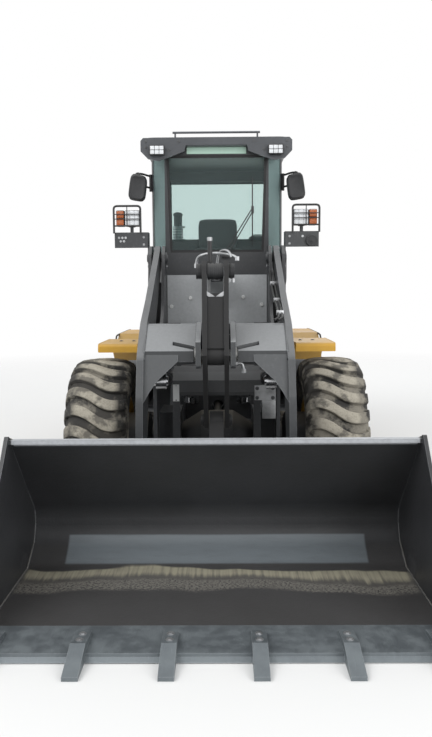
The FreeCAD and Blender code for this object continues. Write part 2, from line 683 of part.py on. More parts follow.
# Bucket: a bent shell between two side plates, with edge plate, lugs and hinge ears behind.
d.add(bucket_half=1075, side_plate=20, shell=14, lip_reach=2150, edge_thick=22, edge_wide=230)
d.add(rim_top_ahead=1400, rim_top_z=795, belly_ahead=975, belly_high_z=300, belly_low_z=120)
d.add(floor_back_ahead=1140, belly_bend=150, heel_bend=120, side_tip=46)
d.add(rim_bar=42, edge_tilt=4)
lip = (back(-d.lip_reach), 0)
section_out = [
    (lip[0], 0),
    (back(-d.floor_back_ahead), 0, d.heel_bend),
    (back(-d.belly_ahead), d.belly_low_z, d.belly_bend),
    (back(-d.belly_ahead), d.belly_high_z, d.belly_bend),
    (back(-d.rim_top_ahead), d.rim_top_z),
]
shell_outline = section_out + [
    (back(-d.rim_top_ahead) - d.shell, d.rim_top_z - d.shell),
    (back(-d.belly_ahead) - d.shell, d.belly_high_z - d.shell / 2, d.belly_bend - d.shell),
    (back(-d.belly_ahead) - d.shell, d.belly_low_z + d.shell / 2, d.belly_bend - d.shell),
    (back(-d.floor_back_ahead) - d.shell / 2, d.shell, d.heel_bend - d.shell),
    (lip[0], d.shell),
]
inner_half = d.bucket_half - d.side_plate
shell = profile("BucketShell", "YZ", (-inner_half, inner_half), shell_outline)
cheek = profile("BucketCheek", "YZ", (inner_half, d.bucket_half), section_out + [
    (back(-d.rim_top_ahead) - d.side_tip, d.rim_top_z + d.side_tip / 2, d.side_tip / 4),
    (back(-d.rim_top_ahead) - d.side_tip * 3, d.rim_top_z - d.side_tip * 2),
    (lip[0] + d.side_tip, d.edge_thick + d.side_tip),
    (lip[0], d.edge_thick),
])
rim_bar = box(
    "BucketRim", (-inner_half, inner_half),
    (back(-d.rim_top_ahead) - d.rim_bar, back(-d.rim_top_ahead)),
    (d.rim_top_z - d.edge_thick, d.rim_top_z),
)
hinge_ear = profile("HingeEar", "YZ", (boom_in - d.lug_plate - d.eye_gap, boom_in - d.eye_gap), [
    (bucket_pin[0] + d.toe_radius, bucket_pin[1] - d.toe_radius / 2, d.rim_bar),
    (bucket_pin[0] + d.toe_radius, bucket_pin[1] + d.toe_radius / 2, d.rim_bar),
    (bucket_lug[0] + d.link_eye, bucket_lug[1] + d.link_eye, d.rim_bar),
    (back(-d.rim_top_ahead) + d.rim_bar * 2, d.rim_top_z - d.rim_bar * 3),
    (back(-d.belly_ahead) - d.shell / 2, d.belly_high_z - d.shell / 2),
    (back(-d.belly_ahead) - d.shell / 2, d.belly_low_z + d.shell),
], [(bucket_pin[0], bucket_pin[1], bore)])
outer_ear = profile("OuterEar", "YZ", (d.boom_out + d.eye_gap, d.boom_out + d.lug_plate + d.eye_gap), [
    (bucket_pin[0] + d.toe_radius, bucket_pin[1] - d.toe_radius / 2, d.rim_bar),
    (bucket_pin[0] + d.toe_radius, bucket_pin[1] + d.toe_radius / 2, d.rim_bar),
    (bucket_lug[0] + d.link_eye, bucket_lug[1] + d.link_eye, d.rim_bar),
    (back(-d.rim_top_ahead) + d.rim_bar * 2, d.rim_top_z - d.rim_bar * 3),
    (back(-d.belly_ahead) - d.shell / 2, d.belly_high_z - d.shell / 2),
    (back(-d.belly_ahead) - d.shell / 2, d.belly_low_z + d.shell),
], [(bucket_pin[0], bucket_pin[1], bore)])
tilt_ear = profile("TiltEar", "YZ", (lug_in, lug_end), [
    (bucket_lug[0] + d.link_eye, bucket_lug[1] - d.link_eye, d.rim_bar / 2),
    (bucket_lug[0] + d.link_eye, bucket_lug[1] + d.link_eye, d.rim_bar / 2),
    (back(-d.rim_top_ahead) + d.rim_bar * 2, d.rim_top_z - d.rim_bar * 3),
    (back(-d.belly_ahead) - d.shell / 2, d.belly_high_z - d.shell / 2),
], [(bucket_lug[0], bucket_lug[1], bore)])
ears = fuse("BucketEars", hinge_ear, outer_ear, tilt_ear)
bucket = fuse(
    "BucketSolid", shell, cheek, mirror("CheekRight", cheek), rim_bar,
    ears, mirror("BucketEarsRight", ears),
)
keep("bucket", bucket)
pin_low = boom_in - d.lug_plate - d.eye_gap
pin_high = d.boom_out + d.lug_plate + d.eye_gap
bucket_head = d.head_radius + d.pin_cap
keep("bucket_pins", both("BucketPins", fuse(
    "BucketPinSolid",
    bar("BucketPin", "X", d.pin_radius, (pin_low - d.head_thick, pin_high + d.head_thick), bucket_pin),
    bar("BucketPinHeadIn", "X", bucket_head, (pin_low - d.head_thick, pin_low - d.seat_gap), bucket_pin),
    bar("BucketPinHeadOut", "X", bucket_head, (pin_high + d.seat_gap, pin_high + d.head_thick), bucket_pin),
)))

# Cutting edge and teeth: a thick plate on the lip, with long two-bolt teeth laid over it.
d.add(tooth_pitch=386, tooth_half=33, tooth_heel=330, tooth_thick=34, tooth_lift=24, tooth_point=9)
edge_top = d.shell + d.seat_gap + d.edge_thick
edge_back = box(
    "EdgeBack", (-inner_half + d.seat_gap, inner_half - d.seat_gap),
    (lip[0] - d.edge_thick, lip[0] + d.edge_wide), (d.shell + d.seat_gap, edge_top),
)
edge = profile("EdgePlate", "YZ", (-d.bucket_half, d.bucket_half), [
    (lip[0] - d.seat_gap, edge_top),
    (lip[0] - d.edge_thick * 2, d.edge_tilt),
    (lip[0] - d.seat_gap, 0),
])
teeth = [profile(f"Tooth{n}", "YZ", (n * d.tooth_pitch / 2 - d.tooth_half, n * d.tooth_pitch / 2 + d.tooth_half), [
    (back(-d.tooth_reach) + d.tooth_heel, edge_top),
    (back(-d.tooth_reach) + d.tooth_heel, edge_top + d.tooth_thick / 2),
    (lip[0], edge_top + d.tooth_thick),
    (back(-d.tooth_reach), d.tooth_point * 2),
    (back(-d.tooth_reach), 0),
    (lip[0] - d.edge_thick * 2, 0),
    (lip[0] - d.edge_thick * 2, d.edge_tilt),
    (lip[0], edge_top),
]) for n in (-5, -3, -1, 1, 3, 5)]
keep("cutting_edge", fuse("EdgeSolid", edge, edge_back, *teeth))

# Steering cylinder sizes: the frames on both sides of the pivot leave room for these.
d.add(steer_eye_x=210, steer_eye_ahead=300, steer_foot_x=285, steer_foot_behind=450, steer_z=650)
d.add(steer_barrel=30, steer_rod=17, steer_eye_radius=34, steer_eye_half=24, steer_neck=20, steer_gland=430, steer_pin=18)
d.add(steer_tube_start=68, steer_rod_start=228, relief_rear_back=1405)
steer_span = (d.steer_z - d.steer_eye_half, d.steer_z + d.steer_eye_half)

# Front frame: twin plate towers for the boom, cross plates, axle saddles and the steering ears.
d.add(tower_in=397, tower_plate=23, tower_out=498, tower_top=92, tower_rear_back=690)
d.add(saddle_ahead=300, saddle_z=720, frame_low_z=440, chin_ahead=330, chin_z=960, lap_back=960, lap_z=930)
d.add(waist_back=380, waist_z=1400, front_box_back=1000, ear_half=135, ear_thick=40, ear_low_z=470)
d.add(ear_high_z=900, pivot_bore=45, box_half=300, deck_low_back=655, deck_low_z=1300, deck_high_z=1672)
d.add(slope_long=160, slope_rise=80, shaft_hole=50, cross_hole=42, notch_z=1296)
tower_rear = back(d.tower_rear_back)
tower_outline = [
    (back(-d.chin_ahead), d.frame_low_z),
    (back(-d.chin_ahead), d.chin_z, d.plate),
    (back(-d.saddle_ahead) + d.plate * 4, d.chin_z + d.plate, d.plate),
    (back(d.waist_back), d.waist_z, d.bend),
    (boom_pin[0] - d.tower_top, boom_pin[1] + d.plate, d.plate),
    (boom_pin[0] - d.plate, boom_pin[1] + d.tower_top, d.plate),
    (tower_rear, boom_pin[1] + d.tower_top, d.plate),
    (tower_rear, d.lap_z, d.plate),
    (back(d.lap_back), d.lap_z, d.plate),
    (back(d.lap_back), d.lift_foot_z - d.lift_eye_radius * 2, d.plate),
    (tower_rear, d.frame_low_z),
]
tower_holes = [(boom_pin[0], boom_pin[1], bore)]
inner_tower = profile("TowerInner", "YZ", (d.tower_in, d.tower_in + d.tower_plate), tower_outline, tower_holes)
outer_outline = [
    (back(-d.saddle_ahead) + d.plate * 8, d.chin_z),
    (back(d.waist_back), d.waist_z, d.bend),
    (boom_pin[0] - d.tower_top, boom_pin[1] + d.plate, d.plate),
    (boom_pin[0] - d.plate, boom_pin[1] + d.tower_top, d.plate),
    (tower_rear, boom_pin[1] + d.tower_top, d.plate),
    (tower_rear, d.saddle_z),
    (back(0), d.saddle_z),
]
outer_tower = profile("TowerOuter", "YZ", (d.tower_out, d.tower_out + d.tower_plate), outer_outline, tower_holes)
tower_back = box(
    "TowerBack", (d.tower_in, d.tower_out + d.plate / 2), (tower_rear - d.tower_plate, tower_rear),
    (d.saddle_z, boom_pin[1] - d.heel_radius * 2),
)
sill = box(
    "TowerSill", (d.tower_in, d.tower_out + d.tower_plate), (back(0), tower_rear),
    (d.saddle_z, d.saddle_z + d.tower_plate),
)
foot_out = d.lift_x - d.lift_barrel - d.lift_gland_step - d.run_gap
foot_plate = profile("FootPlate", "YZ", (foot_out - d.tower_plate, foot_out), [
    (tower_rear - d.plate, d.frame_low_z + d.plate),
    (tower_rear - d.plate, d.lap_z),
    (back(d.lap_back), d.lap_z, d.plate),
    (back(d.lap_back), d.lift_foot_z - d.lift_eye_radius * 2, d.plate),
    (back(d.tower_rear_back) + d.plate * 2, d.frame_low_z + d.plate),
])
side = fuse("TowerSide", inner_tower, outer_tower, tower_back, sill, foot_plate)
chin_y = (back(-d.chin_ahead), back(-d.chin_ahead) + d.tower_plate)
chin = box(
    "FrameChin", (-foot_out, foot_out), chin_y, (d.chin_z - d.plate * 4, d.chin_z),
)
belly = box(
    "FrameBelly", (-d.tower_in - d.plate / 2, d.tower_in + d.plate / 2), chin_y,
    (d.frame_low_z, d.frame_low_z + d.plate * 5),
)
chin_post = box(
    "ChinPost", (foot_out - d.tower_plate * 2, foot_out), chin_y, (d.frame_low_z + d.plate, d.chin_z),
)
chin_slope = profile("ChinSlope", "YZ", (-foot_out, foot_out), [
    (chin_y[0], d.chin_z - d.plate),
    (chin_y[0], d.chin_z),
    (chin_y[0] + d.slope_long, d.chin_z + d.slope_rise),
    (chin_y[0] + d.slope_long, d.chin_z + d.slope_rise - d.plate),
])
deck = profile("TowerDeck", "YZ", (-d.tower_in, d.tower_in), [
    (back(d.deck_low_back), d.deck_low_z),
    (tower_rear - d.tower_plate, d.deck_high_z),
    (tower_rear, d.deck_high_z),
    (tower_rear, d.deck_low_z - d.plate * 2),
    (back(d.deck_low_back), d.deck_low_z - d.plate * 2),
])
tilt_bracket = profile("TiltBracket", "YZ", (d.tilt_half + d.eye_gap, d.tilt_half + d.eye_gap + d.tower_plate), [
    (tilt_foot[0] - d.tilt_foot_eye, tilt_foot[1] - d.tilt_foot_eye / 2, d.plate),
    (tilt_foot[0] - d.tilt_foot_eye, tilt_foot[1] + d.tilt_foot_eye, d.plate),
    (tower_rear - d.plate / 2, tilt_foot[1] + d.tilt_foot_eye),
    (tower_rear - d.plate / 2, d.deck_low_z + d.plate * 4),
    (back(d.deck_low_back), d.deck_low_z + d.plate * 4),
])
tilt_back = box(
    "TiltBack", (-d.tilt_half - d.plate, d.tilt_half + d.plate), (tower_rear - d.tower_plate, tower_rear),
    (d.deck_high_z - d.plate, tilt_foot[1] + d.tilt_foot_eye),
)
tilt_foot_pin = bar(
    "TiltFootPin", "X", d.pin_radius,
    (-d.tilt_half - d.eye_gap - d.plate, d.tilt_half + d.eye_gap + d.plate), tilt_foot,
)
lift_foot_pin = bar(
    "LiftFootPin", "X", d.pin_radius,
    (foot_out - d.tower_plate, d.tower_in + d.tower_plate), lift_foot,
)
boom_foot_pin = bar("BoomFootPin", "X", d.pin_radius, (d.tower_in, d.tower_out + d.tower_plate), boom_pin)
rear_box = profile("FrontRearBox", "XY", (d.frame_low_z + d.plate, d.ear_high_z + d.ear_thick), [
    (-d.box_half, back(d.tower_rear_back) - d.plate * 2),
    (-d.box_half, back(d.front_box_back) - d.plate * 6),
    (-d.ear_half, back(d.front_box_back)),
    (d.ear_half, back(d.front_box_back)),
    (d.box_half, back(d.front_box_back) - d.plate * 6),
    (d.box_half, back(d.tower_rear_back) - d.plate * 2),
])
rear_box_hollow = box(
    "FrontRearHollow", (-d.box_half + d.plate, d.box_half - d.plate),
    (back(d.tower_rear_back) - d.plate * 3, back(d.front_box_back) - d.plate * 6),
    (d.frame_low_z + d.plate * 2, d.ear_high_z),
)
ears_front = []
for title, low in (("Low", d.ear_low_z), ("High", d.ear_high_z)):
    ears_front.append(box(
        f"FrontEar{title}", (-d.ear_half, d.ear_half), (back(d.front_box_back) - d.plate * 2, back(pivot_back)),
        (low, low + d.ear_thick),
    ))
    ears_front.append(bar(f"FrontEarEnd{title}", "Z", d.ear_half, (low, low + d.ear_thick), (0, back(pivot_back))))
pivot_holes = bar(
    "FrontPivotBore", "Z", d.pivot_bore + d.pin_gap,
    (d.ear_low_z - d.plate, d.ear_high_z + d.ear_thick + d.plate), (0, back(pivot_back)),
)
saddle = profile("AxleSaddle", "YZ", (d.neck, d.tower_in), [
    (back(-d.case_radius), d.frame_low_z),
    (back(-d.case_radius), d.saddle_z),
    (back(d.case_radius), d.saddle_z),
    (back(d.case_radius), d.frame_low_z),
], [(back(0), axle_z, d.tube_radius + d.seat_gap)])
steer_pocket = box(
    "SteerPocket", (d.steer_eye_x - d.steer_eye_radius - d.run_gap * 3, d.box_half + d.plate),
    (back(pivot_back - d.steer_eye_ahead) - d.steer_eye_radius * 2, back(pivot_back)),
    (steer_span[0] - d.seat_gap, steer_span[1] + d.eye_gap),
)
deck_notch = box(
    "DeckNotch", (foot_out, d.tower_in), (back(d.deck_low_back) - d.plate, tower_rear + d.plate),
    (d.deck_low_z - d.plate * 3, d.notch_z),
)
front_frame = cut(
    "FrontFrameSolid",
    fuse(
        "FrontFrameFused", side, mirror("TowerSideRight", side), chin, chin_slope, belly, deck,
        chin_post, mirror("ChinPostRight", chin_post),
        tilt_bracket, mirror("TiltBracketRight", tilt_bracket), tilt_back,
        cut("FrontRearShell", rear_box, rear_box_hollow), *ears_front,
        saddle, mirror("AxleSaddleRight", saddle),
        tilt_foot_pin, lift_foot_pin, mirror("LiftFootPinRight", lift_foot_pin),
        boom_foot_pin, mirror("BoomFootPinRight", boom_foot_pin),
    ),
    pivot_holes,
    steer_pocket,
    mirror("SteerPocketRight", steer_pocket),
    deck_notch,
    mirror("DeckNotchRight", deck_notch),
    bar(
        "FrontShaftHole", "Y", d.shaft_hole, (tower_rear, back(d.front_box_back) + d.plate), (0, d.shaft_z),
    ),
    bar("AxleBoreFront", "X", d.tube_radius + d.seat_gap, (-d.drum_in, d.drum_in), (back(0), axle_z)),
)
keep("front_frame", front_frame)

# Front fenders: flat tops with turned-down lips, on arms from the tower sides.
d.add(fender_in=545, fender_out=812, fender_z=1190, fender_lip=60, fender_front=120, fender_flat_back=420)
d.add(fender_tail_back=640, fender_tail_z=1010, fender_sheet=6, fender_arm=40)
fender_top = [
    (back(-d.fender_front), d.fender_z - d.fender_lip),
    (back(-d.fender_front), d.fender_z, d.plate),
    (back(d.fender_flat_back), d.fender_z, d.bend_small),
    (back(d.fender_tail_back), d.fender_tail_z),
    (back(d.fender_tail_back) - d.fender_sheet, d.fender_tail_z - d.fender_sheet),
    (back(d.fender_flat_back) - d.fender_sheet / 2, d.fender_z - d.fender_sheet, d.bend_small - d.fender_sheet),
    (back(-d.fender_front) + d.fender_sheet, d.fender_z - d.fender_sheet, d.plate - d.fender_sheet),
    (back(-d.fender_front) + d.fender_sheet, d.fender_z - d.fender_lip),
]
fender_plate = profile("FrontFenderPlate", "YZ", (d.fender_in, d.fender_out), fender_top)
fender_arm = box(
    "FrontFenderArm", (d.tower_out + d.tower_plate + d.seat_gap, d.fender_out - d.fender_arm * 2),
    (back(d.fender_front), back(d.fender_front) + d.fender_arm),
    (d.fender_z - d.fender_arm - d.fender_sheet, d.fender_z - d.fender_sheet),
)
keep("front_fenders", both("FrontFenders", fuse("FrontFender", fender_plate, fender_arm)))

# Head lamps on plates that stand out from the tower tops, each inside a bent tube guard.
d.add(lamp_back=560, lamp_plate_out=785, lamp_plate_low=1880, lamp_plate_high=1998)
d.add(lamp_x=655, lamp_z=2112, lamp_half=56, lamp_tall=52, lamp_deep=90, signal_x=742, signal_half=24)
d.add(guard_tube=11, guard_top_z=2200, lamp_sheet=8, lamp_base_z=2040)
lamp_y = back(d.lamp_back)
lamp_plate_in = d.tower_out + d.tower_plate + d.seat_gap
lamp_plate = box(
    "LampPlate", (lamp_plate_in, d.lamp_plate_out), (lamp_y, lamp_y + d.lamp_sheet),
    (d.lamp_plate_low, d.lamp_plate_high),
)
lamp_leg = box(
    "LampLeg", (lamp_plate_in, lamp_plate_in + d.lamp_sheet), (lamp_y, lamp_y + d.lamp_deep),
    (d.waist_z + d.plate * 6, d.lamp_plate_high),
)
lamp_shelf = box(
    "LampShelf", (lamp_plate_in, d.lamp_plate_out), (lamp_y, lamp_y + d.lamp_deep),
    (d.lamp_plate_high - d.lamp_sheet, d.lamp_plate_high),
)
lamp_post = bar("LampPost", "Z", d.guard_tube, (d.lamp_plate_high - d.lamp_sheet, d.lamp_z), (d.lamp_x, lamp_y + d.lamp_deep / 2))
lamp_case = box(
    "LampCase", (d.lamp_x - d.lamp_half, d.signal_x + d.signal_half), (lamp_y, lamp_y + d.lamp_deep),
    (d.lamp_z - d.lamp_tall, d.lamp_z + d.lamp_tall),
)
guard_in = d.lamp_x - d.lamp_half - d.guard_tube * 2
guard_out = d.signal_x + d.signal_half + d.guard_tube * 2
guard_y = lamp_y - d.guard_tube
guard = [
    bar("GuardIn", "Z", d.guard_tube, (d.lamp_plate_high - d.plate, d.guard_top_z), (guard_in, guard_y)),
    bar("GuardOut", "Z", d.guard_tube, (d.lamp_plate_high - d.plate, d.guard_top_z), (guard_out, guard_y)),
    bar("GuardTop", "X", d.guard_tube, (guard_in - d.guard_tube, guard_out + d.guard_tube), (guard_y, d.guard_top_z)),
    bar("GuardLow", "X", d.guard_tube, (guard_in - d.guard_tube, guard_out + d.guard_tube), (guard_y, d.lamp_base_z - d.guard_tube)),
]
guard_foot = box(
    "GuardFoot", (guard_in - d.guard_tube, d.lamp_plate_out + d.guard_tube), (guard_y, lamp_y + d.lamp_sheet),
    (d.lamp_plate_high - d.lamp_sheet, d.lamp_plate_high),
)
lamp = fuse("HeadLamp", lamp_plate, lamp_leg, lamp_shelf, lamp_post, lamp_case, *guard, guard_foot)
keep("head_lamps", both("HeadLamps", lamp))

# Rear frame: two deep side beams, cross members, the pivot ears and pin, and the axle saddles.
d.add(beam_x=340, beam_plate=26, beam_front_back=1262, beam_rear_back=3200, beam_low_z=440, beam_high_z=960)
d.add(rear_ear_gap=6, cross_thick=40)
cross_y = back(d.beam_front_back)
side_beam = profile("SideBeam", "YZ", (d.beam_x, d.beam_x + d.beam_plate), [
    (cross_y, d.beam_low_z + d.plate),
    (cross_y, d.beam_high_z),
    (back(d.beam_rear_back), d.beam_high_z),
    (back(d.beam_rear_back), d.beam_low_z + d.plate * 4),
    (back(d.wheelbase) + d.case_radius * 2, d.beam_low_z),
    (cross_y + d.plate * 4, d.beam_low_z),
], [(back(d.wheelbase), axle_z, d.tube_radius + d.seat_gap)])
cross_plate = box(
    "CrossPlate", (-d.beam_x, d.beam_x), (cross_y, cross_y + d.cross_thick), (d.beam_low_z + d.plate, d.beam_high_z),
)
cross_window = box(
    "CrossWindow", (d.ear_half + d.run_gap, d.beam_x), (cross_y - d.plate, cross_y + d.cross_thick + d.plate),
    (d.steer_z - d.steer_barrel - d.run_gap, d.steer_z + d.steer_barrel + d.run_gap),
)
cross_front = cut(
    "CrossFront", cross_plate, cross_window, mirror("CrossWindowRight", cross_window),
    bar("CrossShaftHole", "Y", d.cross_hole, (cross_y - d.plate, cross_y + d.cross_thick + d.plate), (0, d.shaft_z)),
)
steer_relief = box(
    "SteerRelief", (d.beam_x - d.run_gap, d.beam_x + d.beam_plate + d.plate), (cross_y - d.plate, back(d.relief_rear_back)),
    (d.steer_z - d.steer_barrel - d.run_gap, d.steer_z + d.steer_barrel + d.run_gap),
)
d.add(steer_bracket=18, steer_bracket_half=44, mount_radius=45, mount_front_back=1340, mount_rear_back=2080)
steer_foot_y = back(pivot_back + d.steer_foot_behind)
brackets = [box(
    f"SteerBracket{title}", (d.steer_foot_x - d.steer_bracket_half, d.beam_x),
    (steer_foot_y - d.steer_bracket_half, steer_foot_y + d.steer_bracket_half), span,
) for title, span in (
    ("Low", (steer_span[0] - d.seat_gap - d.steer_bracket, steer_span[0] - d.seat_gap)),
    ("High", (steer_span[1] + d.eye_gap, steer_span[1] + d.eye_gap + d.steer_bracket)),
)]
steer_foot_pin = bar(
    "SteerFootPin", "Z", d.steer_pin,
    (steer_span[0] - d.seat_gap - d.steer_bracket, steer_span[1] + d.eye_gap + d.steer_bracket),
    (d.steer_foot_x, steer_foot_y),
)
d.add(cab_floor_z=1140)
cab_mounts = [bar(
    f"CabMount{title}", "Z", d.mount_radius, (d.beam_high_z, d.cab_floor_z - d.seat_gap),
    (d.beam_x + d.beam_plate / 2, back(y)),
) for title, y in (("Front", d.mount_front_back), ("Rear", d.mount_rear_back))]
beam_side = fuse("BeamSide", cut("SideBeamCut", side_beam, steer_relief), *brackets, steer_foot_pin, *cab_mounts)
cross_rear = box(
    "CrossRear", (-d.beam_x, d.beam_x), (back(d.beam_rear_back) - d.cross_thick, back(d.beam_rear_back)),
    (d.beam_low_z + d.plate * 4, d.beam_high_z),
)
ears_rear = []
rear_ears = (
    ("Low", d.ear_low_z + d.ear_thick + d.rear_ear_gap),
    ("High", d.ear_high_z - d.ear_thick - d.rear_ear_gap),
)
for title, low in rear_ears:
    ears_rear.append(box(
        f"RearEar{title}", (-d.ear_half, d.ear_half), (back(pivot_back), cross_y + d.plate), (low, low + d.ear_thick),
    ))
    ears_rear.append(bar(f"RearEarEnd{title}", "Z", d.ear_half - d.plate, (low, low + d.ear_thick), (0, back(pivot_back))))
pivot_pins = [
    bar("PivotPinLow", "Z", d.pivot_bore, (d.ear_low_z - d.pin_cap, rear_ears[0][1] + d.ear_thick), (0, back(pivot_back))),
    bar("PivotPinHigh", "Z", d.pivot_bore, (rear_ears[1][1], d.ear_high_z + d.ear_thick + d.pin_cap), (0, back(pivot_back))),
]
rear_frame = fuse(
    "RearFrameSolid", beam_side, mirror("BeamSideRight", beam_side), cross_front, cross_rear, *ears_rear, *pivot_pins,
)
keep("rear_frame", rear_frame)

# Steering cylinders: one each side of the pivot, barrels on the rear frame, rods on the front frame.
steer_eye = (d.steer_eye_x, back(pivot_back - d.steer_eye_ahead), d.steer_z)
steer_foot = (d.steer_foot_x, back(pivot_back + d.steer_foot_behind), d.steer_z)
steer_run = (steer_eye[0] - steer_foot[0], steer_eye[1] - steer_foot[1])
steer_length = root(steer_run[0] * steer_run[0] + steer_run[1] * steer_run[1])
steer_barrel = cut(
    "SteerBarrelSolid",
    fuse(
        "SteerBarrelFused",
        strut("SteerNeck", steer_foot, steer_eye, d.steer_neck, (0, d.steer_tube_start + d.steer_neck)),
        strut("SteerTube", steer_foot, steer_eye, d.steer_barrel, (d.steer_tube_start, d.steer_gland)),
        bar("SteerFootEye", "Z", d.steer_eye_radius, steer_span, steer_foot[:2]),
    ),
    strut("SteerHollow", steer_foot, steer_eye, d.steer_rod + d.pin_gap, (d.steer_tube_start + d.pin_cap, d.steer_gland + d.plate)),
    bar("SteerFootBore", "Z", d.steer_pin + d.pin_gap, (steer_span[0] - d.plate, steer_span[1] + d.plate), steer_foot[:2]),
)
steer_rod = fuse(
    "SteerRodSolid",
    strut("SteerRodBar", steer_foot, steer_eye, d.steer_rod, (d.steer_rod_start, steer_length)),
    bar("SteerRodEye", "Z", d.steer_eye_radius, steer_span, steer_eye[:2]),
)
keep("steer_barrel_left", group("SteerBarrelLeft", steer_barrel))
keep("steer_barrel_right", mirror("SteerBarrelRight", steer_barrel))
keep("steer_rod_left", group("SteerRodLeft", steer_rod))
keep("steer_rod_right", mirror("SteerRodRight", steer_rod))

# Counterweight: a heavy casting across the tail, with a jaw for the tow pin.
d.add(weight_half=620, weight_low_z=470, weight_top_z=1010, weight_round=160)
d.add(jaw_wide=150, jaw_low_z=600, jaw_high_z=690, jaw_deep=150, jaw_lip=50, tow_bore=17.5, tow_in=70)
weight = profile("WeightBlock", "XY", (d.weight_low_z, d.weight_top_z), [
    (-d.weight_half, back(d.beam_rear_back) + d.seat_gap),
    (d.weight_half, back(d.beam_rear_back) + d.seat_gap),
    (d.weight_half, back(d.rear_reach), d.weight_round),
    (-d.weight_half, back(d.rear_reach), d.weight_round),
])
keep("counterweight", cut(
    "WeightSolid", weight,
    box(
        "TowJaw", (-d.jaw_wide / 2, d.jaw_wide / 2), (back(d.rear_reach) - d.jaw_deep, back(d.rear_reach) + d.plate),
        (d.jaw_low_z, d.jaw_high_z),
    ),
    box(
        "TowRecess", (-d.jaw_wide / 2, d.jaw_wide / 2), (back(d.rear_reach) - d.jaw_deep, back(d.rear_reach) + d.plate),
        (d.jaw_high_z + d.jaw_lip, d.weight_top_z + d.plate),
    ),
    box(
        "TowRecessLow", (-d.jaw_wide / 2, d.jaw_wide / 2),
        (back(d.rear_reach) - d.jaw_deep, back(d.rear_reach) + d.plate),
        (d.weight_low_z - d.plate, d.jaw_low_z - d.jaw_lip),
    ),
    bar(
        "TowBore", "Z", d.tow_bore, (d.jaw_low_z - d.jaw_lip, d.jaw_high_z + d.jaw_lip + d.plate),
        (0, back(d.rear_reach) - d.tow_in),
    ),
))

# Engine and gearbox: plain closed blocks at their real place, joined by the propeller shafts.
d.add(engine_half=270, engine_front_back=2480, engine_rear_back=3080, engine_low_z=720, engine_high_z=1420)
d.add(bell_half=230, bell_high_z=1000, gearbox_half=150, gearbox_front_back=1640, gearbox_rear_back=1930)
d.add(gearbox_low_z=500, gearbox_high_z=880, drive_z=800, foot_low_z=745, foot_high_z=820, foot_long=75)
feet = [box(
    f"DriveFoot{title}", (-d.beam_x + d.seat_gap, d.beam_x - d.seat_gap), (back(y), back(y + d.foot_long)),
    (d.foot_low_z, d.foot_high_z),
) for title, y in (
    ("Gearbox", d.gearbox_front_back + d.foot_long),
    ("Front", d.engine_front_back + d.plate * 2),
    ("Rear", d.engine_rear_back - d.foot_long * 2),
)]
ball = doc.addObject("Part::Sphere", "ShaftJoint")
bind(ball, "Radius", d.yoke_radius)
place(ball, 0, back(pivot_back), d.shaft_z)
keep("engine", fuse(
    "EngineSolid",
    box(
        "EngineBlock", (-d.engine_half, d.engine_half),
        (back(d.engine_front_back), back(d.engine_rear_back)), (d.engine_low_z, d.engine_high_z),
    ),
    box(
        "BellHousing", (-d.bell_half, d.bell_half),
        (back(d.wheelbase) + d.case_radius + d.plate, back(d.engine_front_back) + d.plate),
        (d.engine_low_z, d.bell_high_z),
    ),
    box(
        "Gearbox", (-d.gearbox_half, d.gearbox_half),
        (back(d.gearbox_front_back), back(d.gearbox_rear_back)), (d.gearbox_low_z, d.gearbox_high_z),
    ),
    *feet,
    bar(
        "DriveShaft", "Y", d.shaft_radius, (back(d.gearbox_rear_back - d.plate), back(d.engine_front_back)), (0, d.drive_z),
    ),
    bar("MiddleShaft", "Y", d.shaft_radius, (back(pivot_back), back(d.gearbox_front_back + d.plate)), (0, d.shaft_z)),
    bar(
        "RearShaft", "Y", d.shaft_radius,
        (back(d.gearbox_rear_back - d.plate), back(d.wheelbase - d.nose_long) - d.seat_gap), (0, d.shaft_z),
    ),
    ball,
))

# Cab shell: hollow, with chamfered front corners, cut for the doors and every window.
d.add(cab_half=545, cab_nose_half=430, cab_front_back=930, cab_corner_back=1130, cab_rear_back=2160)
d.add(cab_top_z=2700, cab_wall=42, floor_thick=40)
d.add(screen_low_half=385, screen_high_half=410, screen_low_z=1860, screen_high_z=2640)
d.add(door_front_back=1160, door_rear_back=1890, door_low_z=1190, door_high_z=2650)
d.add(side_low_z=1860, rear_low_z=2030, rear_high_z=2600, rear_half=470, quarter_front=1950, quarter_rear=2110)
d.add(corner_edge=34)
cab_outline = [
    (-d.cab_nose_half, back(d.cab_front_back)),
    (d.cab_nose_half, back(d.cab_front_back)),
    (d.cab_half, back(d.cab_corner_back)),
    (d.cab_half, back(d.cab_rear_back)),
    (-d.cab_half, back(d.cab_rear_back)),
    (-d.cab_half, back(d.cab_corner_back)),
]
cab_inline = [
    (-d.cab_nose_half + d.cab_wall / 2, back(d.cab_front_back) + d.cab_wall),
    (d.cab_nose_half - d.cab_wall / 2, back(d.cab_front_back) + d.cab_wall),
    (d.cab_half - d.cab_wall, back(d.cab_corner_back) + d.cab_wall / 2),
    (d.cab_half - d.cab_wall, back(d.cab_rear_back) - d.cab_wall),
    (-d.cab_half + d.cab_wall, back(d.cab_rear_back) - d.cab_wall),
    (-d.cab_half + d.cab_wall, back(d.cab_corner_back) + d.cab_wall / 2),
]
screen_corners = [
    (-d.screen_low_half, d.screen_low_z),
    (d.screen_low_half, d.screen_low_z),
    (d.screen_high_half, d.screen_high_z),
    (-d.screen_high_half, d.screen_high_z),
]
corner_in = d.cab_nose_half - d.cab_wall / 2 + d.corner_edge / 2
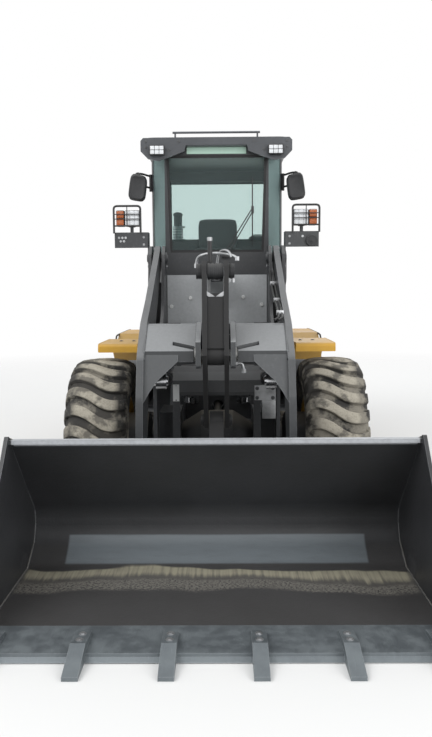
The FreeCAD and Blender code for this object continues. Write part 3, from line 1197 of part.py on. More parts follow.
corner_window = profile("CornerWindow", "XY", (d.side_low_z, d.screen_high_z), [
    (corner_in, back(d.cab_front_back) + d.corner_edge - d.plate * 2),
    (d.cab_half + d.plate, back(d.cab_corner_back) - d.corner_edge - d.plate * 2),
    (d.cab_half - d.cab_wall, back(d.cab_corner_back) - d.corner_edge + d.plate * 2),
    (corner_in - d.cab_wall / 2, back(d.cab_front_back) + d.corner_edge + d.plate * 2),
])
cab_cuts = [
    profile("CabInside", "XY", (d.cab_floor_z + d.floor_thick, d.cab_top_z + d.plate), cab_inline),
    profile("ScreenCut", "XZ", (back(d.cab_front_back) - d.plate, back(d.cab_front_back) + d.cab_wall + d.plate), screen_corners),
    corner_window,
    mirror("CornerWindowRight", corner_window),
    box(
        "DoorCut", (-d.cab_half - d.plate, d.cab_half + d.plate), (back(d.door_front_back), back(d.door_rear_back)),
        (d.door_low_z, d.door_high_z),
    ),
    box(
        "QuarterCut", (-d.cab_half - d.plate, d.cab_half + d.plate), (back(d.quarter_front), back(d.quarter_rear)),
        (d.side_low_z, d.rear_high_z),
    ),
    box(
        "RearCut", (-d.rear_half, d.rear_half), (back(d.cab_rear_back) - d.cab_wall - d.plate, back(d.cab_rear_back) + d.plate),
        (d.rear_low_z, d.rear_high_z),
    ),
]
# Cab hinges stand out behind each door opening: pins on the cab, knuckles on the door.
d.add(hinge_x=562, hinge_back=1897, hinge_pin=8, hinge_knuckle=15, hinge_tall=60, hinge_low_z=1400, hinge_high_z=2350)
hinge = (d.hinge_x, back(d.hinge_back))
cab_hinges = []
for title, z in (("Low", d.hinge_low_z), ("High", d.hinge_high_z)):
    cab_hinges.append(bar(f"CabHingePin{title}", "Z", d.hinge_pin, (z - d.hinge_tall / 2, z + d.hinge_tall), hinge))
    cab_hinges.append(bar(f"CabHingeBoss{title}", "Z", d.hinge_knuckle, (z - d.hinge_tall / 2, z), hinge))
    cab_hinges.append(box(
        f"CabHingeLeaf{title}", (d.cab_half, d.hinge_x), (back(d.hinge_back), back(d.hinge_back) + d.hinge_tall),
        (z - d.hinge_tall / 2, z),
    ))
cab_hinge = fuse("CabHinges", *cab_hinges)
cab_shell = fuse(
    "CabShellSolid",
    cut("CabShellCut", profile("CabBlock", "XY", (d.cab_floor_z, d.cab_top_z), cab_outline), *cab_cuts),
    cab_hinge,
    mirror("CabHingesRight", cab_hinge),
)
keep("cab_shell", cab_shell)

# Cab glass: screen, corner panes, quarter panes and rear pane, each seated in its opening.
d.add(glass=6, glass_inset=14)
glass_y = back(d.cab_front_back) + d.glass_inset
screen = profile("ScreenPane", "XZ", (glass_y, glass_y + d.glass), [
    (-d.screen_low_half + d.seat_gap, d.screen_low_z + d.seat_gap),
    (d.screen_low_half - d.seat_gap, d.screen_low_z + d.seat_gap),
    (d.screen_high_half - d.seat_gap, d.screen_high_z - d.seat_gap),
    (-d.screen_high_half + d.seat_gap, d.screen_high_z - d.seat_gap),
])
pane_line = profile("CornerPaneBand", "XY", (d.side_low_z + d.seat_gap, d.screen_high_z - d.seat_gap), [
    (d.cab_nose_half - d.plate * 2, back(d.cab_front_back) + d.glass_inset - d.plate * 2),
    (d.cab_half - d.glass_inset / 2 + d.plate, back(d.cab_corner_back) + d.plate),
    (d.cab_half - d.glass_inset / 2 + d.plate - d.glass, back(d.cab_corner_back) + d.plate + d.glass / 2),
    (d.cab_nose_half - d.plate * 2 - d.glass, back(d.cab_front_back) + d.glass_inset - d.plate * 2 + d.glass / 2),
])
corner_clip = profile("CornerPaneClip", "XY", (d.side_low_z + d.seat_gap, d.screen_high_z - d.seat_gap), [
    (corner_in + d.seat_gap, back(d.cab_front_back) + d.corner_edge - d.plate * 2 + d.seat_gap),
    (d.cab_half + d.plate, back(d.cab_corner_back) - d.corner_edge - d.plate * 2 - d.seat_gap),
    (d.cab_half - d.cab_wall, back(d.cab_corner_back) - d.corner_edge + d.plate * 2 - d.seat_gap),
    (corner_in - d.cab_wall / 2 + d.seat_gap, back(d.cab_front_back) + d.corner_edge + d.plate * 2 + d.seat_gap),
])
corner_pane = doc.addObject("Part::Common", "CornerPane")
corner_pane.Base = pane_line
corner_pane.Tool = corner_clip
side_glass_x = d.cab_half - d.glass_inset
quarter_pane = box(
    "QuarterPane", (side_glass_x - d.glass, side_glass_x),
    (back(d.quarter_front) + d.seat_gap, back(d.quarter_rear) - d.seat_gap),
    (d.side_low_z + d.seat_gap, d.rear_high_z - d.seat_gap),
)
rear_pane = box(
    "RearPane", (-d.rear_half + d.seat_gap, d.rear_half - d.seat_gap),
    (back(d.cab_rear_back) - d.glass_inset - d.glass, back(d.cab_rear_back) - d.glass_inset),
    (d.rear_low_z + d.seat_gap, d.rear_high_z - d.seat_gap),
)
keep("cab_glass", group(
    "CabGlass", screen, corner_pane, mirror("CornerPaneRight", corner_pane),
    quarter_pane, mirror("QuarterPaneRight", quarter_pane), rear_pane,
))

# Cab roof: a wide cap with a stepped visor plate in front, a raised middle, a bar and two work lamps.
d.add(roof_half=590, roof_front_back=865, roof_rear_back=2235, roof_low_z=2700, roof_edge_z=2768)
d.add(roof_high_z=2804, roof_round=90, raised_half=470, raised_front=1110, raised_rear=2100)
d.add(visor_half=606, visor_top_half=585, visor_top_z=2763, visor_side_high=2740, visor_side_low=2660)
d.add(visor_corner_half=548, visor_corner_z=2600, visor_step_half=460, visor_step_z=2584)
d.add(visor_waist_half=345, visor_waist_z=2625, visor_inner_half=257, visor_inner_z=2657, visor_slot_half=245)
d.add(visor_slot_z=2706, visor_plate=20, roof_bar=9, roof_bar_half=350, roof_bar_z=2808, roof_bar_behind=20, roof_foot=7)
roof_cap = profile("RoofCap", "XY", (d.roof_low_z + d.seat_gap, d.roof_edge_z), [
    (-d.roof_half, back(d.roof_front_back), d.roof_round),
    (d.roof_half, back(d.roof_front_back), d.roof_round),
    (d.roof_half, back(d.roof_rear_back), d.roof_round),
    (-d.roof_half, back(d.roof_rear_back), d.roof_round),
])
roof_raised = profile("RoofRaised", "XY", (d.roof_edge_z - d.plate, d.roof_high_z), [
    (-d.raised_half, back(d.raised_front), d.roof_round),
    (d.raised_half, back(d.raised_front), d.roof_round),
    (d.raised_half, back(d.raised_rear), d.roof_round),
    (-d.raised_half, back(d.raised_rear), d.roof_round),
])
visor_side = [
    (d.visor_top_half, d.visor_top_z),
    (d.visor_half, d.visor_side_high),
    (d.visor_half, d.visor_side_low),
    (d.visor_corner_half, d.visor_corner_z),
    (d.visor_step_half, d.visor_step_z),
    (d.visor_waist_half, d.visor_waist_z),
    (d.visor_inner_half, d.visor_inner_z),
    (d.visor_slot_half, d.visor_slot_z),
]
visor = profile(
    "RoofVisor", "XZ", (back(d.roof_front_back) - d.visor_plate / 2, back(d.roof_front_back) + d.visor_plate / 2),
    visor_side + [(-x, z) for x, z in reversed(visor_side)],
)
visor_brace = box(
    "VisorBrace", (-d.visor_step_half, d.visor_step_half),
    (back(d.roof_front_back), back(d.roof_front_back) + d.roof_round + d.plate), (d.roof_low_z + d.seat_gap, d.roof_edge_z),
)
bar_y = back(d.roof_front_back) + d.roof_bar_behind
roof_bar = bar("RoofBar", "X", d.roof_bar, (-d.roof_bar_half, d.roof_bar_half), (bar_y, d.roof_bar_z))
bar_feet = [bar(
    f"RoofBarFoot{n}", "Z", d.roof_foot, (d.roof_edge_z - d.plate, d.roof_bar_z),
    (n * (d.roof_bar_half - d.roof_foot * 3), bar_y),
) for n in (-1, 1)]
keep("cab_roof", fuse("CabRoofSolid", roof_cap, roof_raised, visor, visor_brace, roof_bar, *bar_feet))
d.add(work_x=472, work_half=62, work_tall=40, work_deep=52, work_z=2660)
work_back = back(d.roof_front_back) - d.visor_plate / 2 - d.seat_gap
work_lamp = box(
    "WorkLamp", (d.work_x - d.work_half, d.work_x + d.work_half), (work_back - d.work_deep, work_back),
    (d.work_z - d.work_tall, d.work_z + d.work_tall),
)
keep("work_lamps", both("WorkLamps", work_lamp))

# Doors: whole leaves as thick as the cab wall, with a pane, a handle bar and the hinge knuckles.
d.add(door_gap=6, door_frame=70, door_sill=240, door_thick=40)
door_front = back(d.door_front_back) + d.door_gap
door_rear = back(d.door_rear_back) - d.door_gap
door_low = d.door_low_z + d.door_gap
door_high = d.door_high_z - d.door_gap
door_x = (d.cab_half - d.door_thick, d.cab_half)
window = (
    (door_front + d.door_frame, door_rear - d.door_frame),
    (door_low + d.door_sill, door_high - d.door_frame),
)
knuckles = []
knuckle_bores = []
for title, z in (("Low", d.hinge_low_z), ("High", d.hinge_high_z)):
    knuckles.append(bar(f"DoorKnuckle{title}", "Z", d.hinge_knuckle, (z + d.seat_gap, z + d.hinge_tall - d.seat_gap), hinge))
    knuckles.append(box(
        f"DoorLeaf{title}", (d.cab_half, d.hinge_x), (back(d.hinge_back) - d.hinge_tall, door_rear),
        (z + d.seat_gap, z + d.hinge_tall - d.seat_gap),
    ))
    knuckles.append(box(
        f"DoorLeafArm{title}", (d.cab_half + d.door_gap, d.hinge_x), (door_rear - d.hinge_pin, back(d.hinge_back)),
        (z + d.seat_gap, z + d.hinge_tall - d.seat_gap),
    ))
    knuckle_bores.append(bar(f"DoorBore{title}", "Z", d.hinge_pin + d.pin_gap, (z - d.hinge_tall, z + d.hinge_tall * 2), hinge))
door = cut(
    "DoorSolid",
    fuse("DoorFused", box("DoorSlab", door_x, (door_front, door_rear), (door_low, door_high)), *knuckles),
    box("DoorWindow", (door_x[0] - d.plate, door_x[1] + d.plate), *window),
    *knuckle_bores,
)
keep("door_left", group("DoorLeft", door))
keep("door_right", mirror("DoorRight", door))
pane_x = (side_glass_x - d.glass, side_glass_x)
pane = box(
    "DoorPane", pane_x, (window[0][0] + d.seat_gap, window[0][1] - d.seat_gap),
    (window[1][0] + d.seat_gap, window[1][1] - d.seat_gap),
)
keep("door_glass_left", group("DoorGlassLeft", pane))
keep("door_glass_right", mirror("DoorGlassRight", pane))

# Seat on its pedestal and the steering column with its wheel.
d.add(seat_front_back=1560, seat_rear_back=2030, seat_half=245, seat_low_z=1500, seat_cushion=110)
d.add(seat_top_z=2230, seat_back=110, pedestal=150, wheel_ring=190, wheel_grip=15, column_back=1330)
d.add(column_z=1830, column_radius=38, dash_half=170, dash_front_back=1000, dash_rear_back=1120, dash_z=1780)
floor_top = d.cab_floor_z + d.floor_thick
seat = fuse(
    "SeatSolid",
    box("SeatPedestal", (-d.pedestal, d.pedestal), (back(d.seat_front_back) + d.seat_back, back(d.seat_rear_back) - d.seat_back), (floor_top + d.seat_gap, d.seat_low_z)),
    box("SeatCushion", (-d.seat_half, d.seat_half), (back(d.seat_front_back), back(d.seat_rear_back)), (d.seat_low_z, d.seat_low_z + d.seat_cushion)),
    box("SeatBack", (-d.seat_half, d.seat_half), (back(d.seat_rear_back) - d.seat_back, back(d.seat_rear_back)), (d.seat_low_z, d.seat_top_z)),
)
keep("seat", seat)
grip_z = (d.column_z - d.wheel_grip, d.column_z + d.wheel_grip)
ring = cut(
    "WheelRing",
    bar("WheelRingOuter", "Z", d.wheel_ring + d.wheel_grip, grip_z, (0, back(d.column_back))),
    bar("WheelRingInner", "Z", d.wheel_ring - d.wheel_grip, grip_z, (0, back(d.column_back))),
)
console = fuse(
    "ConsoleSolid",
    box("Dash", (-d.dash_half, d.dash_half), (back(d.dash_front_back), back(d.dash_rear_back)), (floor_top + d.seat_gap, d.dash_z)),
    box("ColumnFoot", (-d.column_radius, d.column_radius), (back(d.dash_rear_back) - d.plate, back(d.column_back) + d.column_radius), (d.dash_z - d.plate * 3, d.dash_z - d.plate)),
    bar("Column", "Z", d.column_radius, (d.dash_z - d.plate * 3, d.column_z + d.wheel_grip), (0, back(d.column_back))),
    box("WheelSpoke", (-d.wheel_ring, d.wheel_ring), (back(d.column_back) - d.wheel_grip, back(d.column_back) + d.wheel_grip), (d.column_z - d.wheel_grip / 2, d.column_z + d.wheel_grip / 2)),
    ring,
)
keep("console", console)

# Mirrors on bent tube arms from the front pillars.
d.add(mirror_in=560, mirror_out=735, mirror_low_z=2272, mirror_high_z=2520, mirror_deep=46, mirror_back=960)
d.add(mirror_arm=9, mirror_lean=26, arm_low_z=2420, arm_high_z=2500)
mirror_y = back(d.mirror_back)
mirror_head = profile("MirrorHead", "XZ", (mirror_y, mirror_y + d.mirror_deep), [
    (d.mirror_in + d.mirror_lean, d.mirror_low_z, d.plate),
    (d.mirror_out, d.mirror_low_z + d.mirror_lean, d.plate),
    (d.mirror_out - d.mirror_lean, d.mirror_high_z, d.plate),
    (d.mirror_in, d.mirror_high_z - d.mirror_lean, d.plate),
])
mirror_arms = []
for title, z in (("Low", d.arm_low_z), ("High", d.arm_high_z - d.plate)):
    clamp = (d.cab_half + d.mirror_arm + d.seat_gap, back(d.cab_corner_back), z)
    tip = (d.mirror_in + d.mirror_lean * 2, mirror_y + d.mirror_deep / 2, z)
    reach = mirror_y - back(d.cab_corner_back)
    mirror_arms.append(strut(f"MirrorArm{title}", clamp, tip, d.mirror_arm, (0, -reach)))
    mirror_arms.append(bar(f"MirrorClamp{title}", "Z", d.mirror_arm, (z - d.plate, z + d.plate), clamp[:2]))
keep("mirrors", both("Mirrors", fuse("MirrorSolid", mirror_head, *mirror_arms)))

# Fixed cowl behind the cab, the exhaust stack and the air cleaner cap.
d.add(cowl_front_back=2166, cowl_rear_back=2440, cowl_half=545, cowl_high_z=1850, cowl_sheet=30)
d.add(stack_x=400, stack_back=2296, stack_radius=42, stack_high_z=2300, cleaner_radius=85, cleaner_high_z=2080)
cowl = cut(
    "CowlCut",
    box("CowlBlock", (-d.cowl_half, d.cowl_half), (back(d.cowl_front_back), back(d.cowl_rear_back)), (d.beam_high_z + d.seat_gap, d.cowl_high_z)),
    box(
        "CowlHollow", (-d.cowl_half + d.cowl_sheet, d.cowl_half - d.cowl_sheet),
        (back(d.cowl_front_back) + d.cowl_sheet, back(d.cowl_rear_back) + d.plate),
        (d.beam_high_z - d.plate, d.cowl_high_z - d.cowl_sheet),
    ),
)
d.add(hood_hinge_back=2443, hood_hinge_z=1866, hood_knuckle=14, hood_pin=7, hood_knuckle_x=300, hood_knuckle_long=60)
hood_hinge = (back(d.hood_hinge_back), d.hood_hinge_z)
cowl_knuckle = fuse(
    "CowlKnuckle",
    bar("CowlKnuckleBar", "X", d.hood_knuckle, (d.hood_knuckle_x, d.hood_knuckle_x + d.hood_knuckle_long), hood_hinge),
    bar("CowlKnucklePin", "X", d.hood_pin, (d.hood_knuckle_x, d.hood_knuckle_x + d.hood_knuckle_long * 2), hood_hinge),
    box(
        "CowlLeaf", (d.hood_knuckle_x, d.hood_knuckle_x + d.hood_knuckle_long),
        (hood_hinge[0] - d.hood_knuckle_long, hood_hinge[0]), (d.cowl_high_z - d.pin_cap / 2, d.hood_hinge_z),
    ),
)
keep("cowl", fuse("CowlSolid", cowl, cowl_knuckle, mirror("CowlKnuckleRight", cowl_knuckle)))
stack = (-d.stack_x, back(d.stack_back))
cleaner = (d.stack_x, back(d.stack_back))
keep("exhaust_stack", group(
    "ExhaustStack",
    fuse(
        "StackSolid",
        bar("StackPipe", "Z", d.stack_radius, (d.cowl_high_z + d.seat_gap, d.stack_high_z), stack),
        bar("StackBase", "Z", d.stack_radius + d.pin_cap * 2, (d.cowl_high_z + d.seat_gap, d.cowl_high_z + d.plate), stack),
    ),
    fuse(
        "CleanerSolid",
        bar("CleanerNeck", "Z", d.stack_radius, (d.cowl_high_z + d.seat_gap, d.cleaner_high_z), cleaner),
        bar("CleanerBowl", "Z", d.cleaner_radius, (d.cleaner_high_z - d.plate * 5, d.cleaner_high_z), cleaner),
    ),
))

# Hood: top, sides and tail in one shell, hinged across its front top edge.
d.add(hood_half=480, hood_front_back=2446, hood_rear_back=3380, hood_low_z=1016, hood_high_z=1835, hood_sheet=30)
d.add(hood_round=120, grille_half=300, grille_low_z=1130, grille_high_z=1640)
hood_block = profile("HoodBlock", "YZ", (-d.hood_half, d.hood_half), [
    (back(d.hood_front_back), d.hood_low_z),
    (back(d.hood_front_back), d.hood_high_z),
    (back(d.hood_rear_back), d.hood_high_z - d.plate * 3, d.hood_round),
    (back(d.hood_rear_back), d.hood_low_z),
])
knuckle_span = (
    d.hood_knuckle_x + d.hood_knuckle_long + d.seat_gap, d.hood_knuckle_x + d.hood_knuckle_long * 2 - d.seat_gap,
)
hood_knuckle = fuse(
    "HoodKnuckle",
    bar("HoodKnuckleBar", "X", d.hood_knuckle, knuckle_span, hood_hinge),
    box(
        "HoodLeaf", knuckle_span, (hood_hinge[0] + d.hood_pin, hood_hinge[0] + d.hood_knuckle_long),
        (d.hood_high_z - d.pin_cap, d.hood_hinge_z),
    ),
)
hood = cut(
    "HoodSolid", fuse("HoodFused", hood_block, hood_knuckle, mirror("HoodKnuckleRight", hood_knuckle)),
    bar("HoodPinBore", "X", d.hood_pin + d.pin_gap, (-d.hood_half, d.hood_half), hood_hinge),
    profile("HoodHollow", "YZ", (-d.hood_half + d.hood_sheet, d.hood_half - d.hood_sheet), [
        (back(d.hood_front_back) - d.plate, d.hood_low_z - d.plate),
        (back(d.hood_front_back) - d.plate, d.hood_high_z - d.hood_sheet),
        (back(d.hood_rear_back) - d.hood_sheet, d.hood_high_z - d.plate * 3 - d.hood_sheet, d.hood_round - d.hood_sheet),
        (back(d.hood_rear_back) - d.hood_sheet, d.hood_low_z - d.plate),
    ]),
    box(
        "GrilleCut", (-d.grille_half, d.grille_half), (back(d.hood_rear_back) - d.hood_sheet * 2, back(d.hood_rear_back) + d.plate),
        (d.grille_low_z, d.grille_high_z),
    ),
)
keep("hood", hood)
d.add(slat_count=9, slat_thick=14)
slat_pitch = (d.grille_high_z - d.grille_low_z) / d.slat_count
slats = []
for n in range(int(d.slat_count.value)):
    low = d.grille_low_z + slat_pitch * n
    slats.append(box(
        f"Slat{n}", (-d.grille_half + d.seat_gap, d.grille_half - d.seat_gap),
        (back(d.hood_rear_back) - d.hood_sheet, back(d.hood_rear_back) - d.slat_thick), (low + d.slat_thick, low + d.slat_thick * 2),
    ))
slat_posts = [box(
    f"SlatPost{n}", (n * d.grille_half / 2 - d.slat_thick, n * d.grille_half / 2 + d.slat_thick),
    (back(d.hood_rear_back) - d.hood_sheet, back(d.hood_rear_back) - d.slat_thick - d.seat_gap),
    (d.grille_low_z + d.seat_gap, d.grille_high_z - d.seat_gap),
) for n in (-1, 1)]
keep("hood_grille", fuse("GrilleSolid", *slats, *slat_posts))

# Tanks between the wheels, each with two steps on its outer side.
d.add(tank_in=420, tank_out=800, tank_front_back=1290, tank_rear_back=1640, tank_low_z=470, tank_high_z=950)
d.add(step_out=900, step_thick=20, step_low_z=430, step_high_z=720, step_wide=40, tank_round=60)
tank = profile("TankBody", "YZ", (d.beam_x + d.beam_plate + d.seat_gap, d.tank_out), [
    (back(d.tank_front_back), d.tank_low_z, d.tank_round),
    (back(d.tank_rear_back), d.tank_low_z, d.tank_round),
    (back(d.tank_rear_back), d.tank_high_z, d.tank_round),
    (back(d.tank_front_back), d.tank_high_z, d.tank_round),
])
steps = [box(
    f"Step{title}", (d.tank_out, d.step_out), (back(d.tank_front_back), back(d.tank_rear_back)), (z, z + d.step_thick),
) for title, z in (("Low", d.step_low_z + d.plate * 2), ("High", d.step_high_z))]
keep("side_tanks", both("SideTanks", fuse("TankSolid", tank, *steps)))

# Rear fenders: arches over the rear wheels, carried by the cowl sides.
d.add(rear_fender_out=960, rear_fender_gap=48, rear_fender_sheet=12, rear_fender_low_z=900)
rear_fender_in = d.cowl_half + d.seat_gap
arch_top = d.tyre_radius * 2 + d.rear_fender_gap
arch_front = back(d.wheelbase) - d.tyre_radius - d.rear_fender_gap / 2
arch_rear = back(d.wheelbase) + d.tyre_radius + d.rear_fender_gap
rear_fender = profile("RearFender", "YZ", (rear_fender_in, d.rear_fender_out), [
    (arch_front, d.rear_fender_low_z),
    (arch_front, arch_top - d.bend / 2),
    (arch_front + d.bend, arch_top + d.rear_fender_sheet),
    (arch_rear - d.bend, arch_top + d.rear_fender_sheet),
    (arch_rear, arch_top - d.bend / 2),
    (arch_rear - d.rear_fender_sheet, arch_top - d.bend / 2 - d.rear_fender_sheet / 2),
    (arch_rear - d.bend - d.rear_fender_sheet / 2, arch_top),
    (arch_front + d.bend + d.rear_fender_sheet / 2, arch_top),
    (arch_front + d.rear_fender_sheet, arch_top - d.bend / 2 - d.rear_fender_sheet / 2),
    (arch_front + d.rear_fender_sheet, d.rear_fender_low_z),
])
keep("rear_fenders", both("RearFenders", rear_fender))

doc.recompute()
faults = [o.Label for o in doc.Objects if "Invalid" in o.State or "Error" in o.State]
if faults:
    raise RuntimeError("failed objects: " + ", ".join(faults))
for label, item in PIECES:
    if item.Shape.isNull() or not item.Shape.isValid():
        raise RuntimeError("bad shape: " + label)
os.makedirs("parts", exist_ok=True)
for label, item in PIECES:
    item.Shape.exportStep(f"parts/{label}.step")
print(len(PIECES), "pieces")
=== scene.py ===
import math
import random

import bmesh
import bpy
from mathutils import Matrix, Vector


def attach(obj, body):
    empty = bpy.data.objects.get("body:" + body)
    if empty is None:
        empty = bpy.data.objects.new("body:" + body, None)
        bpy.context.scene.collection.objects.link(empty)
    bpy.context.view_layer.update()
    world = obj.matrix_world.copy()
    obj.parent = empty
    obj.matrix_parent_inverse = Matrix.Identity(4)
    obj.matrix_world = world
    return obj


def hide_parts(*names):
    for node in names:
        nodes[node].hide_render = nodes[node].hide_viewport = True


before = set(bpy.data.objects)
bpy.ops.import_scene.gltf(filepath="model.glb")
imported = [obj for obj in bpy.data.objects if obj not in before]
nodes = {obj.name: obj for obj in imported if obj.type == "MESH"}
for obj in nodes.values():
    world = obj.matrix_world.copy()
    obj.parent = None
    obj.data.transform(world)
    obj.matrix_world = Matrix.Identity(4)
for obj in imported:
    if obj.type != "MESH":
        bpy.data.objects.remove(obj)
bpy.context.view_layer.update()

# The place the loader stands in: a plain pale floor that fades out into white, three soft studio
# panels, and a camera at a walker's eye height in front of the bucket.
def node(tree, kind, settings=(), **sockets):
    """A new node, its settings made and its sockets set or linked, by number (_0) or by name."""
    made = tree.nodes.new(kind)
    for name, value in dict(settings).items():
        setattr(made, name, value)
    for name, values in sockets.items():
        socket = made.inputs[int(name[1:]) if name[0] == "_" else name.replace("_", " ")]
        for value in values if isinstance(values, list) else [values]:
            if isinstance(value, bpy.types.NodeSocket):
                tree.links.new(value, socket)
            else:
                socket.default_value = value
    return made


class Finish:
    """A surface finish, put together node by node over Object coordinates."""

    def __init__(self, name):
        self.material = bpy.data.materials.new(name)
        self.material.use_nodes = True
        self.tree = self.material.node_tree
        self.tree.nodes.clear()
        self.end = self.tree.nodes.new("ShaderNodeOutputMaterial")
        self.where = self.add("TexCoord").outputs["Object"]

    def add(self, kind, settings=(), **sockets):
        return node(self.tree, "ShaderNode" + kind, settings, **sockets)

    def noise(self, scale, detail=6.0, roughness=0.6, at=None):
        made = self.add("TexNoise", Scale=scale, Detail=detail, Roughness=roughness, Vector=at or self.where)
        return made.outputs[0]

    def maths(self, operation, a, b=0.5, c=0.5):
        return self.add("Math", {"operation": operation}, _0=a, _1=b, _2=c).outputs[0]

    def times(self, share, *others):
        """The product of two or more shares."""
        for other in others:
            share = self.maths("MULTIPLY", share, other)
        return share

    def plus(self, a, b):
        return self.maths("ADD", a, b)

    def most(self, a, b):
        return self.maths("MAXIMUM", a, b)

    def swing(self, value, width):
        """A noise value set about nought and made so wide."""
        return self.times(self.maths("SUBTRACT", value, 0.5), width)

    def band(self, value, *ends):
        """Full between two pairs of ends, and nothing outside them."""
        return self.times(self.ramp(value, *ends[:2]), self.ramp(value, *ends[2:]))

    def split(self, place=None):
        """The X, Y and Z of a place."""
        return self.add("SeparateXYZ", Vector=place or self.where).outputs

    def scaled(self, factors, place=None):
        return self.add(
            "VectorMath", {"operation": "MULTIPLY"}, _0=place or self.where, _1=factors,
        ).outputs[0]

    def reach_from(self, y, z):
        """The distance from a line along X."""
        away = self.add("VectorMath", {"operation": "SUBTRACT"}, _0=self.where, _1=(0, y, z)).outputs[0]
        return self.add(
            "VectorMath", {"operation": "LENGTH"}, _0=self.scaled((0, 1, 1), away),
        ).outputs["Value"]

    def ramp(self, value, low, high, to_low=0.0, to_high=1.0):
        made = self.add(
            "MapRange", {"interpolation_type": "SMOOTHSTEP"},
            Value=value, From_Min=low, From_Max=high, To_Min=to_low, To_Max=to_high,
        )
        return made.outputs[0]

    def blend(self, share, first, second):
        first, second = [c if isinstance(c, bpy.types.NodeSocket) else (*c, 1) for c in (first, second)]
        return self.add("Mix", {"data_type": "RGBA"}, _0=share, _6=first, _7=second).outputs[2]

    def edges(self, radius):
        """How near a point is to an outer edge, from 0 to 1."""
        rounded = self.add("Bevel", {"samples": 4}, Radius=radius).outputs[0]
        flat = self.add("NewGeometry").outputs["True Normal"]
        made = self.add("VectorMath", {"operation": "DOT_PRODUCT"}, _0=rounded, _1=flat)
        return self.ramp(made.outputs["Value"], 0.995, 0.8)

    def facing_up(self, low=0.25, high=0.95):
        normal = self.add("TexCoord").outputs["Normal"]
        return self.ramp(self.add("SeparateXYZ", Vector=normal).outputs["Z"], low, high)

    def finish(self, colour, roughness, height=None, depth=0.001, metallic=0.0, **extra):
        surface = self.add(
            "BsdfPrincipled", Base_Color=colour, Roughness=roughness, Metallic=metallic, **extra,
        )
        if height is not None:
            bump = self.add("Bump", Height=height, Distance=depth, Strength=1.0)
            self.tree.links.new(bump.outputs[0], surface.inputs["Normal"])
        self.tree.links.new(surface.outputs[0], self.end.inputs["Surface"])
        return self.material

floor_half = 60.0
floor_mesh = bpy.data.meshes.new("studio_floor")
floor_mesh.from_pydata(
    [
        (x * floor_half, y * floor_half, 0.0) for x, y in ((-1, -1), (1, -1), (1, 1), (-1, 1))
    ], [], [(0, 1, 2, 3)],
)
studio_floor = bpy.data.objects.new("studio_floor", floor_mesh)
bpy.context.scene.collection.objects.link(studio_floor)
pale = Finish("pale_floor")
reach = pale.add("VectorMath", {"operation": "LENGTH"}, _0=pale.where).outputs["Value"]
far = pale.add("MapRange", Value=reach, From_Min=4.0, From_Max=13.0).outputs[0]
matt = pale.add("BsdfDiffuse", Color=(0.8, 0.8, 0.79, 1)).outputs[0]
faded = pale.add("MixShader", _0=far, _1=matt, _2=pale.add("BsdfTransparent").outputs[0])
pale.tree.links.new(faded.outputs[0], pale.end.inputs["Surface"])
floor_mesh.materials.append(pale.material)

# Diffuse light sees a grey-blue sky mixed half with white. The camera, glass and mirrors see white.
world = bpy.data.worlds.new("studio_air")
bpy.context.scene.world = world
world.use_nodes = True
sky = world.node_tree
sky.nodes.clear()
soft = node(sky, "ShaderNodeBackground", Color=(0.93, 0.96, 1.0, 1), Strength=0.62).outputs[0]
white = node(sky, "ShaderNodeBackground", Color=(1, 1, 1, 1), Strength=1.0).outputs[0]
seen = node(sky, "ShaderNodeLightPath").outputs
plain = 0.5
for ray in ("Is Camera Ray", "Is Transmission Ray", "Is Glossy Ray"):
    plain = node(sky, "ShaderNodeMath", {"operation": "MAXIMUM"}, _0=seen[ray], _1=plain).outputs[0]
mixed = node(sky, "ShaderNodeMixShader", _0=plain, _1=soft, _2=white)
node(sky, "ShaderNodeOutputWorld", Surface=mixed.outputs[0])

for panel, place, aim, size, power in (
    ("key_panel", (-6.5, -7.0, 9.0), (0, 0, 0.8), 7.0, 620),
    ("fill_panel", (6.5, -9.0, 4.0), (0, 0, 1.0), 7.0, 420),
    ("back_panel", (2.0, 9.0, 8.0), (0, 0, 1.2), 6.0, 260),
):
    lamp = bpy.data.lights.new(panel, "AREA")
    lamp.size = size
    lamp.energy = power
    lamp_object = bpy.data.objects.new(panel, lamp)
    bpy.context.scene.collection.objects.link(lamp_object)
    lamp_object.location = place
    lamp_object.rotation_euler = (Vector(aim) - Vector(place)).to_track_quat("-Z", "Y").to_euler()

bpy.context.scene.view_settings.view_transform = "Standard"
eye_height, eye_ahead, eye_side = 1.553, 5.05, 0.043
pitch_down, turn_left, roll_over = math.radians(6.22), math.radians(0.56), math.radians(0.4)
camera_data = bpy.data.cameras.new("eye")
camera_data.sensor_width = 36.0
camera_data.lens = 36.0 * 720 / 737
camera_data.clip_end = 200
eye = bpy.data.objects.new("eye", camera_data)
bpy.context.scene.collection.objects.link(eye)
eye.matrix_world = (
    Matrix.Translation((eye_side, -0.575 - eye_ahead, eye_height))
    @ Matrix.Rotation(turn_left, 4, "Z")
    @ Matrix.Rotation(math.radians(90) - pitch_down, 4, "X")
    @ Matrix.Rotation(-roll_over, 4, "Z")
)
bpy.context.scene.camera = eye

# The tyres: wide off-road tyres with wavy bars across the tread, pressed from black rubber and
# caked on top of the bars with dried khaki mud. Each is one carcass turned about the axle with
# its bars set round it.
def put(name, mesh, material, body, smooth=None):
    """Links a finished mesh as a piece that rides on a body."""
    made = bpy.data.objects.new(name, mesh)
    bpy.context.scene.collection.objects.link(made)
    if material is not None:
        mesh.materials.clear()
        mesh.materials.append(material)
    if smooth is not None:
        mesh.shade_smooth()
        mesh.set_sharp_from_angle(angle=math.radians(smooth))
    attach(made, body)
    return made


